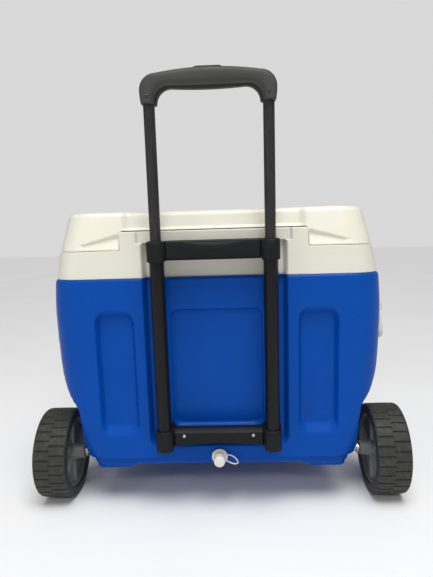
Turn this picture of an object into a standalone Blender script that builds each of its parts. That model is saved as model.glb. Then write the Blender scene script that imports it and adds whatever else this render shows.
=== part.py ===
"""A wheeled cooler box with a telescoping handle, two carry handles, a drain and a hinged lid.

Metres, +Z up. The handle side faces -Y and X runs along the axle. The origin is on the floor,
under the middle of the object's box. Y is measured from the wheel axle inside the functions,
and one empty, cooler_axes, moves the whole object so that the origin is where it should be.
"""

import math

import bmesh
import bpy
from mathutils import Vector

# Driving dimensions of the box
GAP = 0.0003  # between solids that touch
WALL = 0.003  # of the moulded shells
LEAN = math.radians(2.8)  # the rear wall and the handle tubes lean back towards the top
FRONT_DRAFT = math.radians(1.5)
BASE_Z = 0.071  # underside of the blue shell
SEAM_Z = 0.390  # blue shell to white collar
LID_Z = 0.434  # collar to lid
TOP_Z = 0.4945  # top of the lid
REAR_AT_300 = -0.072  # rear wall, 300 mm above the floor
FRONT_AT_SEAM = 0.3236
CORNER = 0.046  # plan radius of the box's corners
SKIRT_CORNER, SKIRT_TOP = 0.022, 0.089  # the narrower skirt below the box has tighter corners
CORNER_STEPS = 5
BELLY_HALF, BELLY_Z = 0.1350, 0.0740  # the underside is raised between its two end pads
BOX_SECTIONS = (  # height, half width, how far the ends stand back from the drafted planes
    (BASE_Z, 0.2085, 0.0055),
    (0.0745, 0.2150, 0.0035),
    (0.0800, 0.2165, 0.0025),
    (0.0880, 0.2185, 0.0020),
    (0.0895, 0.2305, 0.0),
    (0.1050, 0.2390, 0.0),
    (0.1500, 0.2530, 0.0),
    (0.2100, 0.2615, 0.0),
    (0.2700, 0.2655, 0.0),
    (0.3300, 0.2667, 0.0),
    (0.3750, 0.2645, 0.0),
    (0.3865, 0.2630, 0.0),
    (SEAM_Z, 0.2605, 0.0025),
)
COLLAR_BACK, COLLAR_FRONT = 0.0019, 0.3215  # how far the collar's rear stands in from the wall
COLLAR_HALF_LOW, COLLAR_HALF_HIGH = 0.2608, 0.2525
CAVITY_FLOOR_Z = 0.0905
CAVITY_HALF_LOW, CAVITY_HALF_HIGH = 0.2060, 0.2235
CAVITY_REAR_LOW, CAVITY_REAR_HIGH = -0.0290, -0.0395
CAVITY_FRONT_LOW, CAVITY_FRONT_HIGH = 0.2810, 0.2880
CAVITY_CORNER = 0.034
CAVITY_FILLET, FILLET_ANGLES = 0.014, (90, 60, 30, 0)  # between the tub's floor and walls
LINER_WALL = 0.0025
FOAM_REAR = 0.0205  # how far the foam stands in from the rear wall, behind its ribs and channel

# Raised middle of the collar, which carries the upper handle bracket
RISER_HALF, RISER_Z, RISER_FRONT = 0.1455, 0.4634, CAVITY_REAR_HIGH + LINER_WALL
NOTCH_CLEARANCE = 0.0010

# Channel and pockets in the walls: depth from the wall's surface
CHANNEL_HALF, CHANNEL_DEPTH = 0.1145, 0.012
CHANNEL_LOW, CHANNEL_HIGH = 0.1090, 0.4500
HEADER_HALF, HEADER_DEPTH = 0.1215, 0.004
PANEL_HALF, PANEL_LOW, PANEL_HIGH, PANEL_DEPTH = 0.0755, 0.1430, 0.3430, 0.0045
POCKET_X, POCKET_HALF, POCKET_LOW, POCKET_HIGH = 0.1615, 0.0325, 0.1270, 0.3390
POCKET_DEPTH = 0.010

# Wheels and axle
WHEEL_RADIUS, WHEEL_WIDTH, WHEEL_X = 0.076, 0.055, 0.2835
RIM_RADIUS = 0.0597
AXLE_RADIUS, AXLE_HALF = 0.005, 0.3065
AXLE_Z = WHEEL_RADIUS
CLAMP_X, CLAMP_Y, CLAMP_THICK = (0.150, 0.2115), (-0.0535, 0.0360), 0.0036  # pads that hold the axle
WELL_PROFILE = (  # radius about the axle, distance from the middle plane
    (0.1700, 0.3000),
    (0.1620, 0.2670),
    (0.1480, 0.2580),
    (0.1310, 0.2480),
    (0.1250, 0.2420),
    (0.1180, 0.2345),
    (0.1120, 0.2312),
    (0.1050, 0.2302),
    (0.0880, 0.2288),
)
WELL_HUB_X = 0.2280
GROOVE_HALF, GROOVE_TOP = 0.0054, 0.0814

# Handle: tube positions are along the leaning tubes, from the floor
TUBE_X = 0.0864
TUBE_Y_AT_300 = -0.088
OUTER_TUBE = (0.0113, 0.0135)  # half width, half depth of the oval
INNER_TUBE = (0.00775, 0.0100)
TUBE_WALL = 0.0012
OUTER_LOW, OUTER_HIGH = 0.1165, 0.4450
INNER_LOW, INNER_HIGH = 0.3750, 0.6680
BRACKET_HALF = 0.1004
UPPER_LOW, UPPER_HIGH = 0.4170, 0.4480
LOWER_LOW, LOWER_HIGH = 0.1130, 0.1475
LOCK_HEIGHT, COLLAPSE = 0.4050, 0.190
GRIP_HALF, LEG_INNER, GRIP_DEPTH = 0.0985, 0.0745, 0.0160
GRIP_SCREW_Z = 0.6540
GRIP_LOW, GRIP_UNDER, GRIP_TOP = 0.6435, 0.6655, 0.6900
BUTTON_HALF, BUTTON_DEPTH, BUTTON_LOW, BUTTON_TOP = 0.0230, 0.0090, 0.6818, 0.6955
BUTTON_STROKE, BUTTON_SLIP = 0.0050, 0.0005

# Lid and its hinges, on the far side from the handle
LID_HALF_LOW, LID_HALF_HIGH = 0.2520, 0.2380
LID_REAR_LOW, LID_REAR_HIGH = -0.0760, -0.0660
LID_FRONT_LOW, LID_FRONT_HIGH = 0.3208, 0.3172
LID_CORNER = 0.048
LID_RECESS_HALF, LID_RECESS = 0.1405, 0.0100
HINGE_Y, HINGE_Z, HINGE_X = 0.3275, 0.4350, 0.150
KNUCKLE_RADIUS, PIN_RADIUS = 0.0055, 0.0020

# Carry handles, drain and feet
CARRY_Y, CARRY_HALF = 0.110, 0.059
CARRY_X, CARRY_Z = 0.2825, 0.3220
CARRY_DROP, CARRY_TILT, CARRY_RADIUS = 0.058, math.radians(10.7), 0.0078
DRAIN_Z, DRAIN_BORE, DRAIN_TUBE = 0.0933, 0.0045, 0.0068
FOOT_X, FOOT_Y = 0.155, 0.262

OBJECT_REAR, OBJECT_FRONT = -0.1232, 0.3330  # furthest points from the axle, handle out
AXLE_Y = -(OBJECT_REAR + OBJECT_FRONT) / 2

BLUE, WHITE, CREAM = (0.012, 0.075, 0.40), (0.78, 0.77, 0.70), (0.82, 0.80, 0.73)
BLACK, DARK_GREY, TYRE_GREY = (0.018, 0.018, 0.020), (0.06, 0.06, 0.062), (0.045, 0.045, 0.043)
STEEL, FOAM_YELLOW = (0.55, 0.56, 0.58), (0.75, 0.66, 0.38)


# ---------------------------------------------------------------- helpers
def clear_scene():
    for obj in list(bpy.data.objects):
        bpy.data.objects.remove(obj)


def collection(name):
    made = bpy.data.collections.new(name)
    bpy.context.scene.collection.children.link(made)
    return made


def material(name, colour, roughness, metallic=0.0):
    made = bpy.data.materials.new(name)
    made.use_nodes = True
    shader = made.node_tree.nodes["Principled BSDF"]
    shader.inputs["Base Color"].default_value = (*colour, 1.0)
    shader.inputs["Roughness"].default_value = roughness
    shader.inputs["Metallic"].default_value = metallic
    return made


def axes(name, parent=None, at=(0, 0, 0), turn=(0, 0, 0)):
    """An empty that other pieces are placed on."""
    empty = bpy.data.objects.new(name, None)
    PARTS.objects.link(empty)
    empty.parent = parent
    empty.location = at
    empty.rotation_euler = turn
    return empty


def add(name, mesh, parent, at=(0, 0, 0), turn=(0, 0, 0), colour=(0.5, 0.5, 0.5),
        roughness=0.5, metallic=0.0, cutter=False):
    """An object from a bmesh, as a part or as a hidden cutter."""
    data = bpy.data.meshes.new(name)
    mesh.to_mesh(data)
    mesh.free()
    obj = bpy.data.objects.new(name, data)
    (CUTTERS if cutter else PARTS).objects.link(obj)
    obj.parent = parent
    obj.location = at
    obj.rotation_euler = turn
    if cutter:
        obj.hide_render = True
        obj.display_type = "WIRE"
    else:
        data.materials.append(material(name, colour, roughness, metallic))
        data.shade_smooth()
        data.set_sharp_from_angle(angle=math.radians(35))
    return obj


def cutter(name, mesh, parent, at=(0, 0, 0), turn=(0, 0, 0)):
    return add(name, mesh, parent, at, turn, cutter=True)


def boolean(obj, other, operation="DIFFERENCE"):
    step = obj.modifiers.new(other.name, "BOOLEAN")
    step.operation = operation
    step.object = other
    step.solver = "EXACT"


def bevel(obj, width, segments=2, angle=40):
    step = obj.modifiers.new("Bevel", "BEVEL")
    step.width = width
    step.segments = segments
    step.limit_method = "ANGLE"
    step.angle_limit = math.radians(angle)


def arc(centre, radius, start, end, steps):
    """Points along an arc, its angles in degrees."""
    angles = (math.radians(start + (end - start) * i / steps) for i in range(steps + 1))
    return [(centre[0] + radius * math.cos(a), centre[1] + radius * math.sin(a)) for a in angles]


def rounded(a_low, a_high, b_low, b_high, radius, steps=CORNER_STEPS):
    """A rectangle with round corners."""
    points = arc((a_high - radius, b_low + radius), radius, -90, 0, steps)
    points += arc((a_high - radius, b_high - radius), radius, 0, 90, steps)
    points += arc((a_low + radius, b_high - radius), radius, 90, 180, steps)
    points += arc((a_low + radius, b_low + radius), radius, 180, 270, steps)
    return points


def oval(half_a, half_b, steps=24):
    turns = (2 * math.pi * i / steps for i in range(steps))
    return [(half_a * math.cos(t), half_b * math.sin(t)) for t in turns]


def loft(rings, axis="Z"):
    """A closed solid through flat outlines, each at its own level along an axis."""
    place = {"X": lambda a, b, c: (c, a, b), "Y": lambda a, b, c: (a, c, b), "Z": lambda a, b, c: (a, b, c)}
    mesh = bmesh.new()
    loops = [[mesh.verts.new(place[axis](a, b, level)) for a, b in outline] for outline, level in rings]
    for lower, upper in zip(loops, loops[1:]):
        for i in range(len(lower)):
            mesh.faces.new((lower[i - 1], lower[i], upper[i], upper[i - 1]))
    mesh.faces.new(loops[0])
    mesh.faces.new(loops[-1])
    bmesh.ops.recalc_face_normals(mesh, faces=mesh.faces)
    return mesh


def box(low, high):
    mesh = bmesh.new()
    bmesh.ops.create_cube(mesh, size=1)
    centre = (Vector(low) + Vector(high)) / 2
    for vert in mesh.verts:
        vert.co = centre + Vector((c * (h - l) for c, h, l in zip(vert.co, high, low)))
    return mesh


def rod(radius, low, high, axis="Z", at=(0, 0), steps=16):
    """A cylinder between two levels along an axis; at is its place across that axis."""
    outline = [(at[0] + a, at[1] + b) for a, b in oval(radius, radius, steps)]
    return loft([(outline, low), (outline, high)], axis)


def turned(name, profile, steps, closed=False, **placing):
    """Points (radius, height) turned about local Z, the outer side running from top to bottom."""
    mesh = bmesh.new()
    verts = [mesh.verts.new((radius, 0, height)) for radius, height in profile]
    pairs = list(zip(verts, verts[1:]))
    if closed:
        pairs.append((verts[-1], verts[0]))
    for pair in pairs:
        mesh.edges.new(pair)
    obj = add(name, mesh, **placing)
    screw = obj.modifiers.new("Screw", "SCREW")
    screw.steps = screw.render_steps = steps
    screw.use_merge_vertices = True
    screw.merge_threshold = 0.00001
    return obj


def wire_mesh(points, radius, sides=2):
    """A round wire along points, as a mesh with its caps welded on."""
    curve = bpy.data.curves.new("wire", "CURVE")
    curve.dimensions = "3D"
    curve.bevel_depth = radius
    curve.bevel_resolution = sides
    curve.use_fill_caps = True
    spline = curve.splines.new("POLY")
    spline.points.add(len(points) - 1)
    for point, place in zip(spline.points, points):
        point.co = (*place, 1)
    holder = bpy.data.objects.new("wire", curve)
    PARTS.objects.link(holder)
    bpy.context.view_layer.update()
    data = bpy.data.meshes.new_from_object(holder.evaluated_get(bpy.context.evaluated_depsgraph_get()))
    mesh = bmesh.new()
    mesh.from_mesh(data)
    bmesh.ops.remove_doubles(mesh, verts=mesh.verts, dist=0.00001)
    bpy.data.objects.remove(holder)
    return mesh


def rear_wall(z):
    return REAR_AT_300 - (z - 0.3) * math.tan(LEAN)


def collar_rear(z):
    return rear_wall(z) + COLLAR_BACK


def front_wall(z):
    return FRONT_AT_SEAM - (SEAM_Z - z) * math.tan(FRONT_DRAFT)


# ---------------------------------------------------------------- the box
def corner_radius(z):
    return CORNER if z > SKIRT_TOP else SKIRT_CORNER


def box_loft(inset, floor, top=None):
    """The blue box's shape, moved in by inset all round, with an optional straight top."""
    rings = []
    for z, half, back in BOX_SECTIONS:
        radius = corner_radius(z) - inset
        outline = rounded(-half + inset, half - inset, rear_wall(z) + back + inset,
                          front_wall(z) - back - inset, radius)
        rings.append((outline, max(z, floor)))
    if top:
        rings.append((rings[-1][0], top))
    return loft(rings)


def wall_pocket(name, parent, x, half, low, high, depth, slope, grow=0.0, radius=0.014):
    """A cutter for a recess with sloping sides in a wall whose surface is the parent's XZ plane."""
    at_wall = rounded(x - half - grow, x + half + grow, low - grow, high + grow, radius + grow, 3)
    side, top, bottom = slope
    at_floor = rounded(x - half + side - grow, x + half - side + grow, low + bottom - grow,
                       high - top + grow, max(radius - side / 2, 0.004) + grow, 3)
    rings = [(at_wall, -0.02), (at_wall, 0), (at_floor, depth + grow)]
    return cutter(name, loft(rings, "Y"), parent)


def wall_features(tag, grow=0.0):
    """Cutters for the channel, the panel in it and the pockets, on the rear and front walls."""
    made = []
    for side, wall in (("rear", REAR_PLANE), ("front", FRONT_PLANE)):
        for hand in (-1, 1):
            made.append(wall_pocket(f"{tag}_{side}_pocket{hand}", wall, hand * POCKET_X, POCKET_HALF,
                                    POCKET_LOW, POCKET_HIGH, POCKET_DEPTH, (0.007, 0.012, 0.018), grow))
    made.append(wall_pocket(f"{tag}_channel", REAR_PLANE, 0, CHANNEL_HALF, CHANNEL_LOW,
                            CHANNEL_HIGH, CHANNEL_DEPTH, (0.0075, 0.001, 0.012), grow, 0.010))
    made.append(wall_pocket(f"{tag}_panel", REAR_PLANE, 0, PANEL_HALF, PANEL_LOW, PANEL_HIGH,
                            CHANNEL_DEPTH + PANEL_DEPTH, (0.003, 0.003, 0.005), grow, 0.010))
    made.append(wall_pocket(f"{tag}_front_panel", FRONT_PLANE, 0, CHANNEL_HALF - 0.004, POCKET_LOW,
                            POCKET_HIGH, POCKET_DEPTH, (0.007, 0.012, 0.018), grow))
    return made


def well_cutter(name, hand, grow=0.0):
    """The flared wheel arch, turned about the axle."""
    profile = [(0, WELL_PROFILE[0][1])]
    profile += [(r + grow, x - (grow if i > 0 else 0)) for i, (r, x) in enumerate(WELL_PROFILE)]
    profile += [(0, WELL_HUB_X - grow)]
    return turned(name, profile, 40, parent=ROOT, at=(0, 0, AXLE_Z),
                  turn=(0, hand * math.pi / 2, 0), cutter=True)


def groove_cutter(name, grow=0.0):
    low = (-0.3, -GROOVE_HALF - grow, BASE_Z - 0.01)
    return cutter(name, box(low, (0.3, GROOVE_HALF + grow, GROOVE_TOP + grow)), ROOT)


def belly_cutter(name, grow=0.0):
    half = BELLY_HALF + grow
    return cutter(name, box((-half, -0.2, BASE_Z - 0.02), (half, 0.5, BELLY_Z + grow)), ROOT)


def drain_hole(name, radius):
    return cutter(name, rod(radius, -0.06, 0.03), DRAIN)


def outer_shell():
    shell = add("outer_shell", box_loft(0, BASE_Z), ROOT, colour=BLUE, roughness=0.42)
    hollow = cutter("shell_hollow", box_loft(WALL, BASE_Z + WALL, SEAM_Z + 0.01), ROOT)
    for piece in wall_features("inner", WALL):
        boolean(hollow, piece)
    for hand in (-1, 1):
        boolean(hollow, well_cutter(f"inner_well{hand}", hand, WALL))
        boolean(shell, well_cutter(f"well{hand}", hand))
    boolean(hollow, groove_cutter("inner_groove", WALL))
    boolean(hollow, belly_cutter("inner_belly", WALL))
    for piece in wall_features("outer"):
        boolean(shell, piece)
    boolean(shell, groove_cutter("groove"))
    boolean(shell, belly_cutter("belly"))
    boolean(shell, hollow)
    boolean(shell, drain_hole("shell_drain_hole", DRAIN_TUBE + GAP))


def tub_loft(grow, floor, top):
    """The inner tub's shape, moved out by grow. Above the lid's seam its walls are straight."""
    turns = [math.radians(angle) for angle in FILLET_ANGLES]
    levels = [(floor + CAVITY_FILLET * (1 - math.sin(a)), CAVITY_FILLET * (1 - math.cos(a))) for a in turns]
    rings = []
    for z, back in levels + [(z, 0) for z in sorted({min(top, LID_Z), top})]:
        t = (min(z, LID_Z) - CAVITY_FLOOR_Z) / (LID_Z - CAVITY_FLOOR_Z)
        half, rear, front = (low + (high - low) * t for low, high in (
            (CAVITY_HALF_LOW, CAVITY_HALF_HIGH), (CAVITY_REAR_LOW, CAVITY_REAR_HIGH),
            (CAVITY_FRONT_LOW, CAVITY_FRONT_HIGH)))
        out = grow - back
        rings.append((rounded(-half - out, half + out, rear - out, front + out, CAVITY_CORNER + out), z))
    return loft(rings)


def collar_loft(inset, low, high):
    rings = []
    edge = 0.0015
    for z, half in ((low, COLLAR_HALF_LOW), (high - edge, COLLAR_HALF_HIGH), (high, COLLAR_HALF_HIGH - edge)):
        rings.append((rounded(-half + inset, half - inset, collar_rear(z) + inset,
                              COLLAR_FRONT - inset, CORNER - inset), z))
    return loft(rings)


def insulation_foam():
    half = COLLAR_HALF_HIGH - 2 * WALL
    rings = []
    for z, width, back in BOX_SECTIONS[:-2]:
        inset = WALL + GAP
        rings.append((rounded(-width + inset, width - inset, rear_wall(z) + FOAM_REAR + back / 2,
                              front_wall(z) - back - POCKET_DEPTH - WALL - GAP, corner_radius(z) - inset),
                      max(z, BASE_Z + inset)))
    rear, front = rear_wall(SEAM_Z) + FOAM_REAR, front_wall(SEAM_Z) - POCKET_DEPTH - WALL - GAP
    rings.append((rounded(-half, half, rear, front, CORNER - WALL), SEAM_Z - 0.002))
    rings.append((rounded(-half, half, rear, front, CORNER - WALL), LID_Z - WALL - GAP))
    foam = add("insulation_foam", loft(rings), ROOT, colour=FOAM_YELLOW, roughness=0.9)
    tub = tub_loft(LINER_WALL + GAP, CAVITY_FLOOR_Z - LINER_WALL - GAP, 0.5)
    boolean(foam, cutter("foam_tub", tub, ROOT))
    for hand in (-1, 1):
        boolean(foam, well_cutter(f"foam_well{hand}", hand, WALL + GAP))
    boolean(foam, groove_cutter("foam_groove", WALL + GAP))
    boolean(foam, belly_cutter("foam_belly", WALL + GAP))
    boolean(foam, drain_hole("foam_drain_hole", DRAIN_TUBE + GAP))


def riser(name, inset=0.0, low=None):
    """The raised middle of the collar."""
    outline = rounded(-RISER_HALF + inset, RISER_HALF - inset, low or LID_Z - 0.02, RISER_Z - inset, 0.004, 3)
    mesh = loft([(outline, 0), (outline, 1)], "Y")
    for vert in mesh.verts:
        rear = collar_rear(vert.co.z) + inset
        vert.co.y = rear + (RISER_FRONT - inset - rear) * vert.co.y
    return cutter(name, mesh, ROOT)


def collar_channel(tag, grow):
    """The channel's upper end, and the shallower step above it, as one cutter."""
    channel = wall_pocket(f"{tag}_channel", COLLAR_PLANE, 0, CHANNEL_HALF, CHANNEL_LOW, CHANNEL_HIGH,
                          CHANNEL_DEPTH, (0.0075, 0.001, 0.012), grow, 0.003)
    header = wall_pocket(f"{tag}_header", COLLAR_PLANE, 0, HEADER_HALF, CHANNEL_HIGH - 0.025, RISER_Z + 0.025,
                         HEADER_DEPTH, (0.003, 0.0, 0.0), grow, 0.004)
    boolean(channel, header, "UNION")
    return channel


def inner_liner():
    collar = add("inner_liner", collar_loft(0, SEAM_Z + GAP, LID_Z), ROOT, colour=WHITE, roughness=0.38)
    hollow = cutter("collar_hollow", collar_loft(WALL, SEAM_Z - 0.02, LID_Z - WALL), ROOT)
    boolean(collar, riser("riser"), "UNION")
    boolean(hollow, riser("riser_hollow", WALL, LID_Z - 0.02), "UNION")
    boolean(collar, collar_channel("collar", 0))
    boolean(hollow, collar_channel("hollow", WALL))
    boolean(hollow, cutter("tub_space", tub_loft(LINER_WALL, 0.3, 0.5), ROOT))
    boolean(collar, hollow)
    tub = cutter("tub", tub_loft(LINER_WALL, CAVITY_FLOOR_Z - LINER_WALL, LID_Z - 0.001), ROOT)
    boolean(collar, tub, "UNION")
    boolean(collar, cutter("cavity", tub_loft(0, CAVITY_FLOOR_Z, 0.5), ROOT))
    boolean(collar, drain_hole("liner_drain_hole", DRAIN_BORE))


# ---------------------------------------------------------------- wheels, axle and feet
def wheel(hand, side):
    width = WHEEL_WIDTH / 2
    tread = [(0.0742, width), (WHEEL_RADIUS, width - 0.004), (WHEEL_RADIUS, -width + 0.004),
             (0.0742, -width), (0.0600, -width), (0.0600, width)]
    rim = [(RIM_RADIUS, 0.0245), (RIM_RADIUS, -0.0245), (0.0565, -0.0245), (0.0555, -0.0040),
           (0.0175, -0.0040), (0.0150, -0.0405), (0.0054, -0.0405), (0.0054, 0.0190),
           (0.0150, 0.0190), (0.0175, 0.0040), (0.0555, 0.0040), (0.0565, 0.0245)]
    spot = dict(parent=ROOT, at=(hand * WHEEL_X, 0, AXLE_Z), turn=(0, hand * math.pi / 2, 0))
    turned(f"wheel_tyre_{side}", tread, 36, True, colour=TYRE_GREY, roughness=0.6, **spot)
    turned(f"wheel_rim_{side}", rim, 36, True, colour=DARK_GREY, roughness=0.5, **spot)


def axle():
    add("axle", rod(AXLE_RADIUS, -AXLE_HALF, AXLE_HALF, "X", (0, AXLE_Z), 20), ROOT,
        colour=STEEL, roughness=0.3, metallic=1.0)
    for hand, side in SIDES:
        spot = dict(parent=ROOT, turn=(0, hand * math.pi / 2, 0), roughness=0.35, metallic=1.0, colour=STEEL)
        washer = [(0.0090, 0.0028), (0.0090, 0), (0.0053, 0), (0.0053, 0.0028)]
        turned(f"axle_washer_{side}", washer, 20, True, at=(hand * 0.2375, 0, AXLE_Z), **spot)
        cap = [(0, 0.0075), (0.0070, 0.0070), (0.0095, 0.0030), (0.0095, 0), (0.0053, 0), (0.0053, 0.0045),
               (0, 0.0045)]
        turned(f"axle_cap_{side}", cap, 20, at=(hand * 0.3028, 0, AXLE_Z), **spot)
        x_low, x_high = sorted((hand * CLAMP_X[0], hand * CLAMP_X[1]))
        clamp = add(f"axle_clamp_{side}", box((x_low, CLAMP_Y[0], BASE_Z - CLAMP_THICK),
                                              (x_high, CLAMP_Y[1], BASE_Z - GAP)),
                    ROOT, colour=BLUE, roughness=0.45)
        bevel(clamp, 0.0012)


def front_feet():
    for hand, side in SIDES:
        rings = []
        for z, half_x, half_y, radius in ((0.0, 0.024, 0.020, 0.008), (0.0025, 0.0265, 0.0225, 0.009),
                                          (0.055, 0.033, 0.028, 0.012), (0.0625, 0.040, 0.033, 0.012),
                                          (BASE_Z - GAP, 0.040, 0.033, 0.012)):
            rings.append((rounded(hand * FOOT_X - half_x, hand * FOOT_X + half_x, FOOT_Y - half_y,
                                  FOOT_Y + half_y, radius, 4), z))
        add(f"front_foot_{side}", loft(rings), ROOT, colour=BLACK, roughness=0.55)


# ---------------------------------------------------------------- telescoping handle
def tube(name, half, low, high, x, colour, roughness):
    """An oval tube: an open wall, thickened inwards."""
    mesh = bmesh.new()
    bottom, top = ([mesh.verts.new((x + a, b, level)) for a, b in oval(*half)] for level in (low, high))
    for i in range(len(bottom)):
        mesh.faces.new((bottom[i - 1], bottom[i], top[i], top[i - 1]))
    obj = add(name, mesh, HANDLE, colour=colour, roughness=roughness, metallic=0.3)
    solid = obj.modifiers.new("Solidify", "SOLIDIFY")
    solid.thickness = TUBE_WALL
    solid.offset = -1
    return obj


def shifted(outline, x):
    return [(x + a, b) for a, b in outline]


def tubes():
    bore = [h - TUBE_WALL for h in OUTER_TUBE]
    inner_bore = [h - TUBE_WALL for h in INNER_TUBE]
    for hand, side in SIDES:
        x = hand * TUBE_X
        outer = tube(f"outer_tube_{side}", OUTER_TUBE, OUTER_LOW, OUTER_HIGH, x, BLACK, 0.35)
        inner = tube(f"inner_tube_{side}", INNER_TUBE, INNER_LOW, INNER_HIGH, x, BLACK, 0.3)
        far = x + hand * 0.02
        for i, height in enumerate((LOCK_HEIGHT, LOCK_HEIGHT - COLLAPSE)):
            boolean(outer, cutter(f"lock_hole_{side}{i}",
                                  rod(0.0029, *sorted((x, far)), "X", (0, height)), HANDLE))
        pin_hole = rod(0.0028, *sorted((x, far)), "X", (0, LOCK_HEIGHT))
        boolean(inner, cutter(f"pin_hole_{side}", pin_hole, HANDLE))
        pin = add(f"lock_pin_{side}", rod(0.0025, *sorted((x - hand * 0.002, x + hand * 0.0095)), "X",
                                         (0, LOCK_HEIGHT), 12), HANDLE, colour=STEEL, roughness=0.3, metallic=1)
        bevel(pin, 0.0006, 1)
        fit = shifted(oval(*(h - GAP - 0.0001 for h in bore)), x)
        plug = shifted(oval(*(h - GAP for h in inner_bore)), x)
        slider = loft([(fit, INNER_LOW - 0.020), (fit, INNER_LOW - GAP), (plug, INNER_LOW - GAP),
                       (plug, INNER_LOW + 0.022)])
        add(f"tube_slider_{side}", slider, HANDLE, colour=DARK_GREY, roughness=0.5)
        cap = shifted(oval(*OUTER_TUBE), x)
        bushing = add(f"tube_bushing_{side}", loft([(fit, OUTER_HIGH - 0.018), (fit, OUTER_HIGH + GAP),
                                                    (cap, OUTER_HIGH + GAP), (cap, OUTER_HIGH + 0.0022)]),
                      HANDLE, colour=DARK_GREY, roughness=0.5)
        slip = shifted(oval(*(h + GAP for h in INNER_TUBE)), x)
        boolean(bushing, cutter(f"bushing_bore_{side}", loft([(slip, 0.4), (slip, 0.5)]), HANDLE))
        add(f"push_rod_{side}", rod(0.0020, LOCK_HEIGHT + 0.0085, 0.6752, "Z", (x, 0), 10), HANDLE,
            colour=STEEL, roughness=0.35, metallic=1.0)


def bracket(name, low, high, bar_low, rear, front, collar_half, through):
    """A crossbar screwed to the box, with a collar or a socket round each outer tube."""
    bar = add(name, box((-TUBE_X, rear, bar_low), (TUBE_X, front, high)), HANDLE, colour=BLACK, roughness=0.5)
    for hand, side in SIDES:
        outline = rounded(hand * TUBE_X - collar_half, hand * TUBE_X + collar_half, -OUTER_TUBE[1] - 0.0028,
                          OUTER_TUBE[1] + 0.0028, 0.011, 4)
        collar = cutter(f"{name}_collar_{side}", loft([(outline, low), (outline, high)]), HANDLE)
        boolean(bar, collar, "UNION")
        pad_low, pad_high = sorted((hand * (TUBE_X - 0.012), hand * BRACKET_HALF))
        pad = box((pad_low, 0.004, bar_low + 0.0005), (pad_high, front, high - 0.0015))
        boolean(bar, cutter(f"{name}_pad_{side}", pad, HANDLE), "UNION")
        hole = shifted(oval(*(h + GAP for h in OUTER_TUBE)), hand * TUBE_X)
        start = low - 0.01 if through else OUTER_LOW - GAP
        boolean(bar, cutter(f"{name}_bore_{side}", loft([(hole, start), (hole, high + 0.01)]), HANDLE))
    return bar


def brackets():
    channel_floor = (rear_wall(0) - TUBE_Y) * math.cos(LEAN) + CHANNEL_DEPTH - GAP
    upper = bracket("upper_bracket", UPPER_LOW, UPPER_HIGH, UPPER_LOW + 0.002, -0.0125,
                    channel_floor + COLLAR_BACK, 0.0140, True)
    scoop = rod(0.150, -0.05, 0.05, "Y", (0, UPPER_HIGH + 0.1465), 48)
    boolean(upper, cutter("upper_bracket_scoop", scoop, HANDLE))
    lower = bracket("lower_bracket", LOWER_LOW, LOWER_HIGH, LOWER_LOW + 0.0115, -0.0040,
                    channel_floor, 0.0134, False)
    for hand, side in SIDES:
        place = (hand * 0.0552, -0.0040, 0.1370)
        screw_hole = rod(0.0024, -0.03, 0.012, "Y", (place[0], place[2]), 12)
        boolean(lower, cutter(f"screw_hole_{side}", screw_hole, HANDLE))
        turned(f"bracket_screw_{side}", [(0, 0.0024), (0.0022, 0.0022), (0.0040, 0.0008), (0.0040, GAP),
                                         (0.0020, GAP), (0.0020, -0.0150), (0, -0.0150)], 14,
               parent=HANDLE, at=place, turn=(math.pi / 2, 0, 0), colour=STEEL, roughness=0.3, metallic=1.0)


def grip_outline():
    shoulder, fillet = 0.021, 0.010
    crown, belly = 0.0022, 0.0030
    right = arc((GRIP_HALF - shoulder, GRIP_TOP - shoulder), shoulder, 0, 86, 5)
    top = [(x, GRIP_TOP + crown * (1 - (x / 0.075) ** 2)) for x in (0.060, 0.040, 0.020, 0.0)]
    corner = arc((LEG_INNER - fillet, GRIP_UNDER - fillet), fillet, 90, 0, 4)
    under = [(x, GRIP_UNDER - belly * (1 - (x / 0.0645) ** 2)) for x in (0.0, 0.020, 0.040, 0.056)]
    half = right + top
    inner = under + corner
    outline = [(GRIP_HALF, GRIP_LOW)] + half
    outline += [(-x, s) for x, s in reversed(half[:-1])] + [(-GRIP_HALF, GRIP_LOW), (-LEG_INNER, GRIP_LOW)]
    outline += [(-x, s) for x, s in reversed(inner)] + inner[1:] + [(LEG_INNER, GRIP_LOW)]
    return outline


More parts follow.
